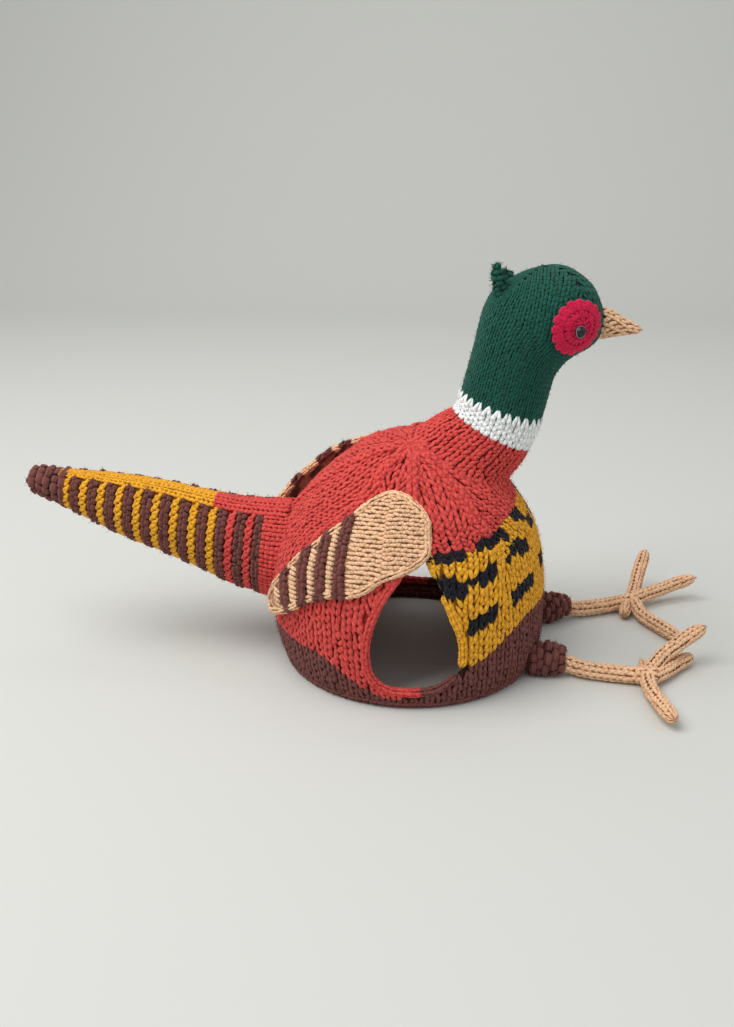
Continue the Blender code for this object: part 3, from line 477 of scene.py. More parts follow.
def wing_point(degrees, height, side, out=0.0):
    """A leaf laid on the dome: thick inside and thin at its edges, the left one raised at its tip."""
    low, high, off = wing_edges(degrees)
    across = np.clip((height - low) / (high - low), 0.0, 1.0)
    higher, further = (flare * MM * (side > 0) for flare in read(FLARE, -degrees, 1, 2))
    edge = np.sin(math.pi * np.clip(across, 0.02, 0.98)) ** 0.35
    off = off * (1.0 - 0.35 * across) + further + WING_THICK * (0.45 + 0.55 * edge) + out
    turn = degrees + WING_LEAN * (0.5 - across) * smoothstep(84.0, 108.0, -degrees)
    return dome_point(np.radians(turn), height + higher, off) * (1.0, -side, 1.0)


BEAK_LINE = fine(BEAK)


def beak_point(angle, x):
    """Upright ovals along X."""
    middle, tall, wide = read(BEAK_LINE, x, 1, 2, 3)
    return np.stack([x, wide * np.sin(angle), middle + tall * np.cos(angle)], axis=-1)


class Cord:
    """A round cord along a line of points: circles square to the line, turned about a given upward
    direction, whose radius is a function of the share of the length."""

    def __init__(self, points, radius, upward=(0.0, 0.0, 1.0), closed=False):
        self.points, self.closed = points, closed
        self.run = run_length(points)
        self.length = self.run[-1]
        self.radius = radius
        ends = np.vstack([points[-2], points, points[1]]) if closed else points
        along = unit(np.gradient(ends, axis=0))
        self.along = along[1:-1] if closed else along
        self.side = unit(np.cross(np.broadcast_to(upward, points.shape), self.along))
        self.up = np.cross(self.along, self.side)

    def at(self, table, distance):
        """Rows of a table along the line, read at distances from its start."""
        return np.stack([np.interp(distance, self.run, table[:, k]) for k in range(3)], axis=-1)

    def point(self, angle, distance):
        """The line's point at a distance, plus the radius times (cosine x up + sine x side). A closed
        cord starts again after its length, and an open one goes straight on past its ends."""
        inside = distance % self.length if self.closed else np.clip(distance, 0.0, self.length)
        reach = self.radius(inside / self.length) if callable(self.radius) else self.radius
        reach = np.asarray(reach)[..., None] * np.ones(angle.shape + (1,))
        centre = self.at(self.points, inside)
        if not self.closed:
            centre = centre + (distance - inside)[..., None] * self.at(self.along, inside)
        return (centre + reach * np.cos(angle)[..., None] * self.at(self.up, inside)
                + reach * np.sin(angle)[..., None] * self.at(self.side, inside))

    def surface(self, u, v):
        """The cord with its angle turned so that faces point outwards."""
        return self.point(-u, v)

    def rounds(self, columns, row):
        """Angles and distances of whole rounds of stitches about a closed cord, and the steps between."""
        count = round(self.length / row)
        turn, column = pairs(np.arange(count), np.arange(columns))
        angle = (column - 1.0) * 2 * math.pi / columns
        return angle, turn * self.length / count, (2 * math.pi / columns, self.length / count)


# ---------------------------------------------------------------- yarn
def lay(surface, u, v, out, steps):
    """The surface's point at (u, v) moved by `out` along its normal, the cross product of the two
    differences between its neighbours."""
    step_u, step_v = (0.12 * step for step in steps)
    across = surface(u + step_u, v) - surface(u - step_u, v)
    along = surface(u, v + step_v) - surface(u, v - step_v)
    normal = unit(np.cross(across, along))
    return surface(u, v) + normal * out[..., None]


def strands(surface, u, v, path, width, row, steps, yarn, seed, mirror=1.0, wild=1.0, base=0.0):
    """Lengths of yarn, one at each (u, v). Each follows `path`, whose offsets count columns of `width`
    and rows of `row` metres, worth steps[0] and steps[1] of the surface's own parameters; a closed
    rounded section is carried along it, square to its direction, and rises `yarn` off the surface."""
    random = np.random.default_rng(seed)
    count = len(u)
    across, up, rise, wide = (path[:, k] for k in range(4))
    shape = np.stack([across * mirror * width, up * row], axis=-1)
    along = unit(np.gradient(shape, axis=0))
    square = np.stack([along[:, 1], -along[:, 0]], axis=-1)
    size = 1.0 + wild * random.normal(0.0, SIZE_VARIES, (count, 1, 1))
    slip = wild * random.normal(0.0, SLIP_VARIES, (count, 2, 1, 1))
    tilt = wild * random.normal(0.0, TILT_VARIES, (count, 1, 1))
    section = YARN_ROUND[None, None]
    half = yarn[0] * wide[None, :, None] * size
    place = shape[None, :, None, :] + square[None, :, None, :] * (half * section[..., 0])[..., None]
    steps = tuple(np.broadcast_to(np.asarray(step, dtype=float), (count,))[:, None, None] for step in steps)
    pu = u[:, None, None] + ((place[..., 0] + tilt * place[..., 1]) / width + slip[:, 0]) * steps[0]
    pv = v[:, None, None] + (place[..., 1] / row + slip[:, 1]) * steps[1]
    lift = yarn[1] * size * (rise[None, :, None] * 0.46 + section[..., 1] * 0.42 * wide[None, :, None])
    points = lay(surface, pu, pv, lift + base - SINK, steps)
    tone = np.clip(0.5 + random.normal(0.0, TONE_VARIES, count), 0.0, 1.0)
    return points, tone, mirror


def v_stitches(surface, u, v, width, row, steps, yarn, seed, path=FINE_LEG, **more):
    """Both legs of a plain stitch at each (u, v)."""
    return [strands(surface, u, v, path, width, row, steps, yarn, seed + k, mirror=side, **more)
            for k, side in enumerate((1.0, -1.0))]


def pressed(points):
    """Wool that the table flattens: below a small height it comes the closer to the table the lower it
    would be (an exponential), and never goes through it."""
    height = points[..., 2]
    low = PRESSED_BELOW * np.exp((height - PRESSED_BELOW) / (5 * PRESSED_BELOW))
    height = np.where(height < PRESSED_BELOW, low, height)
    return np.concatenate([points[..., :2], height[..., None]], axis=-1)


def knot(middle, across, along, apart, yarn, row, seed):
    """Three short lengths of yarn side by side on a flat spot, where the last stitches of a tube are
    drawn together: the spot's middle plus u times one direction plus v times the other."""
    def flat(u, v):
        return middle + u[..., None] * across + v[..., None] * along

    beside = np.array((-1.0, 0.0, 1.0)) * apart
    ahead = np.array((-0.1, 0.12, -0.06)) * row
    return strands(flat, beside, ahead, BOBBLE, apart, row, (apart, row), yarn, seed, wild=2.0)


def wool_piece(name, bundles, kind):
    """One mesh of all the strands: rings of five points joined by quads and closed at both ends, with
    the yarn's own UV (round it and along it) and one random tone for each strand."""
    around = len(YARN_ROUND)
    verts, quads, caps, uvs, cap_uvs, tones, first = [], [], [], [], [], [], 0
    for points, tone, turn in bundles:
        count, rings = points.shape[:2]
        if not count:
            continue
        ring, step = pairs(np.arange(rings - 1), np.arange(around))
        low, beside = ring * around + step, ring * around + (step + 1) % around
        quad = np.stack([low, beside, beside + around, low + around], axis=-1)
        corners = ((0, 0), (1, 0), (1, 1), (0, 1))
        uv = np.stack([np.stack([step + i, ring + j], axis=-1) for i, j in corners], axis=1)
        uv = uv / (around, rings - 1.0)
        if turn < 0:
            uv = uv * (-1, 1) + (1, 0)
        cap = np.stack([np.arange(around)[::-1], np.arange(around) + (rings - 1) * around])
        cap_uv = np.stack([np.full((2, around), 0.5), np.broadcast_to([[0.0], [1.0]], (2, around))], axis=-1)
        starts = first + np.arange(count)[:, None, None] * rings * around
        quads.append((quad[None] + starts).reshape(-1, 4))
        caps.append((cap[None] + starts).reshape(-1, around))
        uvs.append(np.tile(uv.reshape(-1, 2), (count, 1)))
        cap_uvs.append(np.tile(cap_uv.reshape(-1, 2), (count, 1)))
        verts.append(points.reshape(-1, 3))
        tones.append(np.repeat(tone, rings * around))
        first += count * rings * around
    mesh = new_mesh(name, pressed(np.vstack(verts)), np.vstack(quads), np.vstack(caps))
    return yarn_piece(name, mesh, np.vstack(uvs + cap_uvs), np.concatenate(tones), kind)


def fuzz_piece(name, bundles, count, length, kind, seed):
    """Stray fibres: thin bent spindles that start on random strands and lean out and along at random."""
    random = np.random.default_rng(seed)
    points = np.concatenate([points for points, _, _ in bundles])
    pick = random.integers(len(points), size=count)
    ring, corner = random.integers(1, 5, count), random.integers(0, 4, count)
    root, middle = points[pick, ring, corner], points[pick, ring].mean(axis=1)
    outward = unit(root - middle)
    along = unit(points[pick, ring + 1].mean(axis=1) - points[pick, ring - 1].mean(axis=1))
    beside = np.cross(outward, along)
    lean = random.normal(0.0, 1.0, (count, 3))
    way = unit(outward * (0.35 + np.abs(lean[:, :1])) + along * lean[:, 1:2] + beside * lean[:, 2:])
    reach = length * random.uniform(0.4, 1.0, (count, 1))
    tip = root + way * reach
    bend = (root + tip) / 2 + unit(random.normal(0.0, 1.0, (count, 3))) * reach * 0.22
    one = unit(np.cross(way, beside + 0.01))
    two = np.cross(way, one)
    waist = [bend + FUZZ * (math.cos(a) * one + math.sin(a) * two) for a in (0.0, 2.0944, 4.18879)]
    verts = np.stack([root, *waist, tip], axis=1)
    face = np.array(((0, 2, 1), (0, 3, 2), (0, 1, 3), (4, 1, 2), (4, 2, 3), (4, 3, 1)))
    faces = (face[None] + 5 * np.arange(count)[:, None, None]).reshape(-1, 3)
    mesh = new_mesh(name, pressed(verts.reshape(-1, 3)), faces)
    tones = np.repeat(random.uniform(0.5, 1.0, count), 5)
    return yarn_piece(name, mesh, np.full(faces.size * 2, 0.5), tones, kind)


def yarn_piece(name, mesh, uv, tones, kind):
    """A mesh of yarn with its UV and tones, in the material and slot of its wool."""
    mesh.uv_layers.new(name="yarn").data.foreach_set("uv", uv.ravel())
    tag(mesh, "tone", tones)
    return add_piece(name, mesh, yarn_material(kind))


def knitted(part, bundles, kind, fibres, length, seed, ending=None):
    """The stitches of a part in one wool, and so many stray fibres on them."""
    ending = "_" + kind if ending is None else ending
    return [wool_piece(part + "_stitches" + ending, bundles, kind),
            fuzz_piece(part + "_fuzz" + ending, bundles, fibres, length, kind, seed)]


def risen(bundles, swell, centre, upward=1.0):
    """The strands moved by swell(their points) away from a centre, the way's upward part scaled."""
    moved = []
    for points, tone, turn in bundles:
        rise = swell(points.reshape(-1, 3)).reshape(points.shape[:-1])
        away = unit((points - centre) * (1.0, 1.0, upward))
        moved.append((points + away * rise[..., None], tone, turn))
    return moved


def ring_faces(points, joined=False):
    """Faces between rings of points, closed round the rings. The first and last ring are joined too,
    or each gets one face."""
    rings, around = points.shape[:2]
    index = np.arange(rings * around).reshape(rings, around)
    low = index if joined else index[:-1]
    high = np.roll(index, -1, axis=0) if joined else index[1:]
    quads = np.stack([low, np.roll(low, -1, axis=1), np.roll(high, -1, axis=1), high], axis=-1).reshape(-1, 4)
    return (quads,) if joined else (quads, np.stack([index[0, ::-1], index[-1]]))


def new_mesh(name, verts, *faces):
    """A smooth mesh, moved from the hem's centre to the frame; each of `faces` is an array with one row
    of corners for each face."""
    sizes = np.concatenate([np.full(len(part), part.shape[1]) for part in faces])
    corners = np.concatenate([part.ravel() for part in faces])
    mesh = bpy.data.meshes.new(name)
    mesh.vertices.add(len(verts))
    mesh.vertices.foreach_set("co", (verts + HEM_CENTRE).ravel())
    mesh.loops.add(len(corners))
    mesh.loops.foreach_set("vertex_index", corners)
    mesh.polygons.add(len(sizes))
    mesh.polygons.foreach_set("loop_start", np.cumsum(sizes) - sizes)
    mesh.polygons.foreach_set("use_smooth", np.ones(len(sizes), dtype=bool))
    mesh.update(calc_edges=True)
    return mesh


def tag(mesh, name, values):
    """A named attribute with one number or one colour for each point."""
    if values.ndim == 1:
        mesh.attributes.new(name, "FLOAT", "POINT").data.foreach_set("value", values)
    else:
        values = np.pad(values, ((0, 0), (0, 1)), constant_values=1.0)
        mesh.attributes.new(name, "FLOAT_COLOR", "POINT").data.foreach_set("color", values.ravel())


def add_piece(name, mesh, material):
    """A visible piece that rides on the only body."""
    piece = bpy.data.objects.new(name, mesh)
    bpy.context.scene.collection.objects.link(piece)
    mesh.materials.clear()
    mesh.materials.append(material)
    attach(piece, "root")
    return piece


def under_cloth(name, node, inset, kind, dye_and_shade=None, swell=None, shrink=None):
    """The close fabric behind the stitches: the node's own form, drawn in by `inset` and, if `shrink` is
    given, towards a centre by a share. Its colour holds painted shade: one wool's colour darkened or, where
    `dye_and_shade` is given, finer points and the darkened colours that this function has for them."""
    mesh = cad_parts[node].data.copy()
    work = bmesh.new()
    work.from_mesh(mesh)
    bmesh.ops.remove_doubles(work, verts=work.verts, dist=SAME_POINT)
    if dye_and_shade:
        bmesh.ops.subdivide_edges(work, edges=work.edges, cuts=1, use_grid_fill=True)
    work.to_mesh(mesh)
    work.free()
    count = len(mesh.vertices)
    points, normals = np.empty(count * 3), np.empty(count * 3)
    mesh.vertices.foreach_get("co", points)
    mesh.vertex_normals.foreach_get("vector", normals)
    points, normals = points.reshape(-1, 3), normals.reshape(-1, 3)
    local = points - HEM_CENTRE
    out = -inset + (swell(local) if swell else 0.0) * np.ones(count)
    points = points + normals * out[:, None]
    if shrink:
        points = HEM_CENTRE + shrink[0] + (points - HEM_CENTRE - shrink[0]) * shrink[1]
    mesh.vertices.foreach_set("co", points.ravel())
    if dye_and_shade:
        tag(mesh, "dye_and_shade", dye_and_shade(local))
    mesh.shade_smooth()
    mesh.update()
    piece = add_piece(name, mesh, cloth_material() if dye_and_shade else yarn_cloth(kind))
    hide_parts(node)
    return piece


# ---------------------------------------------------------------- materials
def fill_in(node, values):
    """Sets a node's properties, and its inputs by name."""
    for key, value in values.items():
        if hasattr(node, key):
            setattr(node, key, value)
        else:
            node.inputs[key.replace("_", " ")].default_value = value


def node_in(tree, kind, links, **values):
    """A shader node, next to the last one, with its values and the outputs that feed its inputs."""
    made = tree.nodes.new("ShaderNode" + kind)
    made.location = (220.0 * (len(tree.nodes) - 14), -300.0)
    fill_in(made, values)
    for key, output in links.items():
        tree.links.new(output, made.inputs[key])
    return made


def multiply_add(tree, value, factor, more):
    """The value times a factor, plus another value."""
    made = node_in(tree, "Math", {0: value, 2: more}, operation="MULTIPLY_ADD")
    made.inputs[1].default_value = factor
    return made.outputs["Value"]


def blend(tree, share, low, high):
    """A colour between two, by a share."""
    made = node_in(tree, "Mix", {0: share}, data_type="RGBA")
    made.inputs[6].default_value = (*low, 1.0)
    made.inputs[7].default_value = (*high, 1.0)
    return made.outputs[2]


def grain(tree, **values):
    """Noise in the object's own coordinates."""
    place = node_in(tree, "TexCoord", {})
    return node_in(tree, "TexNoise", {"Vector": place.outputs["Object"]}, **values).outputs["Fac"]


def new_material(name, **values):
    """A material, its node tree and its shader, whose inputs are given by name."""
    material = bpy.data.materials.new(name)
    material.use_nodes = True
    shader = material.node_tree.nodes["Principled BSDF"]
    fill_in(shader, values)
    return material, material.node_tree, shader


def wool(name, light, deep, yarn=True):
    """Spun wool. Plies twist along the yarn's own UV and fine fibres break them up. The plies' crests take
    the light colour and their grooves the deep colour, painted light and shade; the darker stitches take the
    deep colour as their own tone. Without a light colour it comes from the attribute "dye_and_shade", which
    holds painted shade too."""
    haze = (min(1.0, part * 0.6 + 0.35) for part in light or (0.5, 0.5, 0.5))
    material, tree, shader = new_material(name, Roughness=0.92, Specular_IOR_Level=0.15, Sheen_Weight=0.3,
                                          Sheen_Roughness=0.5, Sheen_Tint=(*haze, 1.0))
    height = share = grain(tree, Scale=900.0, Detail=3.0, Roughness=0.7)
    if yarn:
        along = node_in(tree, "UVMap", {}, uv_map="yarn")
        turned = node_in(tree, "Mapping", {"Vector": along.outputs["UV"]}, Scale=(1.0, 3.0, 1.0))
        plies = node_in(tree, "TexWave", {"Vector": turned.outputs["Vector"]}, wave_type="BANDS",
                        bands_direction="DIAGONAL", Scale=0.62, Distortion=1.6, Detail=1.0)
        tone = node_in(tree, "Attribute", {}, attribute_name="tone")
        height = multiply_add(tree, plies.outputs["Fac"], 0.55, height)
        share = multiply_add(tree, tone.outputs["Fac"], 0.7, height)
    low, high = (0.62, 1.30) if yarn else (0.2, 0.75)
    groove = node_in(tree, "MapRange", {"Value": share}, From_Min=low, From_Max=high,
                     To_Min=0.0 if light else 0.6).outputs["Result"]
    if light:
        colour = blend(tree, groove, deep, light)
    else:
        dye_and_shade = node_in(tree, "Attribute", {}, attribute_name="dye_and_shade")
        colour = node_in(tree, "VectorMath", {0: dye_and_shade.outputs["Color"], "Scale": groove},
                         operation="SCALE").outputs["Vector"]
    tree.links.new(colour, shader.inputs["Base Color"])
    bump = node_in(tree, "Bump", {"Height": height}, Strength=0.6, Distance=0.0006)
    tree.links.new(bump.outputs["Normal"], shader.inputs["Normal"])
    return material


def clouded(name, low, high, scale, **values):
    """A smooth material, a little clouded between two colours."""
    material, tree, shader = new_material(name, **values)
    tree.links.new(blend(tree, grain(tree, Scale=scale), low, high), shader.inputs["Base Color"])
    return material


def deeper(colours, power, brightness):
    """The deep colour, painted shade for the gaps between stitches and the grooves of the yarn. Light that
    comes out from between stitches has met the wool more than once, so it is the colour to a power above one,
    and darker by the brightness as painted shade; least so for wools that are dark already."""
    colours = np.asarray(colours, dtype=float)
    dark = 1.0 - colours.max(axis=-1, keepdims=True)
    return colours ** power * (brightness + (1.0 - brightness) * dark)


def material_for(name, make, *values, **more):
    """The material of this name, made the first time it is asked for."""
    return bpy.data.materials.get(name) or make(name, *values, **more)


def wool_colour(kind):
    """What the settings say for a wool."""
    return np.array(getattr(bpy.context.scene.cosy_wools, kind))


def yarn_material(kind):
    """The wool that a stitch is knitted with, in the colour that the settings give. Its light colour, a
    little brighter, is painted light on the plies' crests, and its deep colour is painted shade in their
    grooves and the darker stitches' own tone.
    """
    light = np.minimum(wool_colour(kind) * 1.12, 1.0)
    deep = deeper(wool_colour(kind), 1.2, 0.85 if kind in ("brown", "magenta") else 0.66)
    return material_for("wool_" + kind, wool, tuple(light), tuple(deep))


def cloth_material():
    """The fabric behind stitches of several wools, coloured by the attribute "dye_and_shade": their colours
    darkened as painted shade.
    """
    return material_for("wool_behind", wool, None, None, yarn=False)


def yarn_cloth(kind):
    """The fabric behind stitches of one wool, in its colour darkened as painted shade."""
    light = dye_in_shade((kind,), np.zeros(1, dtype=int))[0]
    return material_for("cloth_" + kind, wool, tuple(light), tuple(light * 0.6), yarn=False)


def dye_in_shade(kinds, index):
    """Colours for an array of indices into `kinds`, each wool's colour darkened as painted shade because they
    lie behind the stitches.
    """
    table = np.array([wool_colour(kind) for kind in kinds])
    return deeper(table, 1.4, bpy.context.scene.cosy_wools.behind)[index]


# ---------------------------------------------------------------- settings
def colour_setting(title, about, value):
    return bpy.props.FloatVectorProperty(name=title, description=about, default=value, size=3,
                                         subtype="COLOR", min=0.0, max=1.0)


class CosyWools(bpy.types.PropertyGroup):
    """Colours of the wools, linear, and how bright the fabric behind them is, whose darkening is painted
    shade
    """
    rust: colour_setting("Rust", "Back, sides and neck", (0.65, 0.076, 0.066))
    gold: colour_setting("Gold", "Breast and tail", (0.80, 0.40, 0.025))
    navy: colour_setting("Dark fleck", "Flecks on the breast", (0.012, 0.012, 0.020))
    brown: colour_setting("Brown", "Hem, cuffs and ridges", (0.175, 0.058, 0.050))
    green: colour_setting("Green", "Head", (0.009, 0.088, 0.062))
    white: colour_setting("White", "Ring round the neck", (0.86, 0.92, 0.92))
    tan: colour_setting("Tan", "Wings, beak and feet", (0.82, 0.52, 0.32))
    magenta: colour_setting("Magenta", "Rounds about the eyes", (0.60, 0.013, 0.070))
    # How bright the fabric behind the stitches is: its darkening is painted shade between the stitches.
    behind: bpy.props.FloatProperty(name="Behind", description="Brightness of the fabric behind stitches",
                                    default=0.62, min=0.0, max=1.0, subtype="FACTOR")


def length_setting(title, about, value):
    return bpy.props.FloatProperty(name=title, description=about, default=value, min=0.0002, max=0.02,
                                   precision=4, unit="LENGTH", subtype="DISTANCE")


class CosyKnit(bpy.types.PropertyGroup):
    """Sizes of the yarn."""
    leg_half_width: length_setting("Leg half width", "Half the width of one leg of a body stitch", 0.00152)
    leg_rise: length_setting("Leg rise", "How far a body stitch rises off the cloth", 0.00280)
    fine_half_width: length_setting("Fine half width", "The same for the head, wings and feet", 0.00122)
    fine_rise: length_setting("Fine rise", "The same rise for the head, wings and feet", 0.00200)


class CosyStage(bpy.types.PropertyGroup):
    """Camera, floor and light."""
    lens: bpy.props.FloatProperty(name="Lens", description="Focal length on a 36 mm frame", default=35.05,
                                  min=10.0, max=200.0, unit="CAMERA")
    eye: bpy.props.FloatVectorProperty(name="Camera", description="Camera position from the hem's centre",
                                       default=(0.0292, -0.6499, 0.3380), size=3, unit="LENGTH",
                                       subtype="TRANSLATION")
    look: bpy.props.FloatVectorProperty(name="Direction", description="Where the camera looks",
                                        default=(-0.0819, 0.9361, -0.3420), size=3, subtype="DIRECTION")
    key_power: bpy.props.FloatProperty(name="Key light", description="Power of the large soft light",
                                       default=23.0, min=0.0, max=500.0, unit="POWER")
    sky: bpy.props.FloatProperty(name="Room light", description="Strength of the even light",
                                 default=0.56, min=0.0, max=5.0)
    floor: colour_setting("Floor", "Floor and wall", (0.625, 0.635, 0.615))


def body_yarn():
    """Half width and rise of the yarn that the dome is knitted with."""
    knit = bpy.context.scene.cosy_knit
    return knit.leg_half_width, knit.leg_rise


def fine_yarn():
    """The same for the head, wings, beak and feet."""
    knit = bpy.context.scene.cosy_knit
    return knit.fine_half_width, knit.fine_rise


# ---------------------------------------------------------------- operators
class COSY_OT_stage(bpy.types.Operator):
    """Makes the floor and wall, the lights and the camera"""
    bl_idname = "cosy.stage"
    bl_label = "Stage"

    def execute(self, context):
        stage = context.scene.cosy_stage
        context.scene.view_settings.view_transform = "Standard"
        self.floor_and_wall(stage)
        self.lights(context.scene, stage)
        camera = bpy.data.cameras.new("camera")
        camera.lens = stage.lens
        camera.sensor_width = 36.0
        holder = bpy.data.objects.new("camera", camera)
        holder.location = Vector(stage.eye) + Vector(HEM_CENTRE)
        holder.rotation_mode = "QUATERNION"
        holder.rotation_quaternion = Vector(stage.look).to_track_quat("-Z", "Y")
        context.scene.collection.objects.link(holder)
        context.scene.camera = holder
        return {"FINISHED"}

    def floor_and_wall(self, stage):
        """A sweep: flat, then a quarter circle, then upright, the same all along X."""
        flat, bend, tall = 1.5, 0.9, 2.2
        turn = np.linspace(0.0, math.pi / 2, 17)
        y = np.concatenate([[-3.0], flat + bend * np.sin(turn), [flat + bend]])
        z = np.concatenate([[0.0], bend * (1.0 - np.cos(turn)), [tall]])
        x = np.array((-4.0, 4.0))
        grid = np.stack(np.broadcast_arrays(x[None, :], y[:, None], z[:, None]), axis=-1)
        index = np.arange(grid.shape[0] * 2).reshape(-1, 2)
        quads = np.stack([index[:-1, 0], index[:-1, 1], index[1:, 1], index[1:, 0]], axis=1)
        mesh = new_mesh("floor", grid.reshape(-1, 3) - HEM_CENTRE, quads)
        floor = bpy.data.objects.new("floor", mesh)
        bpy.context.scene.collection.objects.link(floor)
        mesh.materials.append(new_material("floor", Base_Color=(*stage.floor, 1.0), Roughness=0.75,
                                           Specular_IOR_Level=0.2)[0])

    def lights(self, scene, stage):
        """The large soft light, a weak one from the front and one on the wall. Each has a share of the
        setting's power, a size and a colour, and points from one place to another."""
        for name, share, size, colour, at, to in (
                ("key", 1.0, 1.3, (1.0, 0.985, 0.96), (-0.68, -0.42, 1.5), (0.0, 0.0, 0.1)),
                ("fill", 0.08, 1.6, (0.95, 0.97, 1.0), (1.3, -0.9, 0.8), (0.0, 0.0, 0.1)),
                ("wall", 0.30, 1.6, (1.0, 0.98, 0.90), (0.0, 0.9, 1.9), (0.0, 2.4, 0.8))):
            lamp = bpy.data.lights.new(name, "AREA")
            lamp.energy, lamp.size, lamp.color = stage.key_power * share, size, colour
            holder = bpy.data.objects.new(name, lamp)
            holder.location = at
            holder.rotation_mode = "QUATERNION"
            holder.rotation_quaternion = (Vector(to) - Vector(at)).to_track_quat("-Z", "Y")
            scene.collection.objects.link(holder)
        scene.world = bpy.data.worlds.new("room")
        scene.world.use_nodes = True
        background = scene.world.node_tree.nodes["Background"]
        background.inputs["Color"].default_value = (0.95, 0.955, 0.95, 1.0)
        background.inputs["Strength"].default_value = stage.sky


def body_wool(angle, level):
    """Which of BODY_WOOLS is knitted at an angle and a row's level: brown hem, gold breast between the
    slits, rust elsewhere, and the dark flecks."""
    degrees = np.abs((np.degrees(angle) + 180.0) % 360.0 - 180.0)
    front = degrees < SLIT_AT
    brown = level < np.where(front, FRONT_BROWN, BACK_BROWN)
    kind = np.where(brown, 0, np.where(front & (level < GOLD_TOP), 2, 1))
    for start, end, first, last, half in FLECKS:
        share = np.clip((start - degrees) / (start - end), 0.0, 1.0)
        middle = (first + (last - first) * share) * MM
        inside = front & (degrees < start) & (degrees > end) & (np.abs(level - middle) < half * MM)
        kind = np.where(inside, 3, kind)
    return kind


def body_wool_at(points):
    """The same for points of the cloth: their level is their height plus the droop there."""
    angle, level = from_axis(points)[1], points[:, 2]
    for _ in range(3):
        level = points[:, 2] + droop(angle, level)
    return body_wool(angle, level)


def in_slit(points, margin):
    """Whether points of the dome lie in a slit's outline, seen from the side and grown by a margin."""
    line = fine(SLIT)
    height = np.clip(points[:, 2], line[0, 0], line[-1, 0])
    rear, front = read(line, height, 1, 2)
    tall = (points[:, 2] > line[0, 0] - margin) & (points[:, 2] < line[-1, 0] + margin)
    return tall & (points[:, 0] > rear - margin) & (points[:, 0] < front + margin)


def under_wing(points, margin):
    """Whether points of the dome are covered by a wing's inner part."""
    degrees = np.degrees(from_axis(points)[1])
    low, high, _ = wing_edges(-np.abs(degrees))
    inside = (np.abs(degrees) > 82.0) & (np.abs(degrees) < 152.0) & (degrees < 0)
    return inside & (points[:, 2] > low + margin) & (points[:, 2] < high - margin)


def beyond_dome(points):
    """How far points beside the dome stand off it, measured level."""
    return from_axis(points)[0] - read(PROFILE, points[..., 2], 1)


def drop_on_head(points, normal):
    """How far each point is moved along the normal to lie on the head."""
    return halved(lambda reach: neck_clearance(points + reach[:, None] * normal) > 0, len(points),
                  -40 * MM, 40 * MM, 18)


def body_column():
    """Width of a column where the dome is widest."""
    return 2 * math.pi * WIDEST_RADIUS / BODY_COLUMNS


def body_lattice(inside=False):
    """Rows, columns and wedges of all the stitches of the dome that show, outside or inside."""
    rows = np.arange(0.0, PROFILE_RUN[-1] / BODY_ROW - 0.4)
    per_wedge = BODY_COLUMNS // BODY_WEDGES
    columns = np.arange(per_wedge) - (per_wedge - 1) / 2
    wedges = 2 * math.pi / BODY_WEDGES * (np.arange(BODY_WEDGES) + 0.5)
    row, column, wedge = pairs(rows, columns, wedges)
    shown = (np.abs(column) - 0.4) * column_angle(row) < math.pi / BODY_WEDGES
    row, column, wedge = row[shown], column[shown], wedge[shown]
    points = body_place(column, row + 0.4, wedge)
    clear = (points[:, 2] > HEM_CLEAR) & ~in_slit(points, SLIT_CLEAR)
    if not inside:
        start, middle, wide, tall = TAIL_SEAT
        tail = np.hypot(points[:, 1] / wide, (points[:, 2] - middle) / tall) < 1.0
        clear &= ~under_wing(points, WING_COVERS) & (neck_clearance(points) > NECK_SINK)
        clear &= ~(tail & (points[:, 0] < start))
    return row[clear], column[clear], wedge[clear]


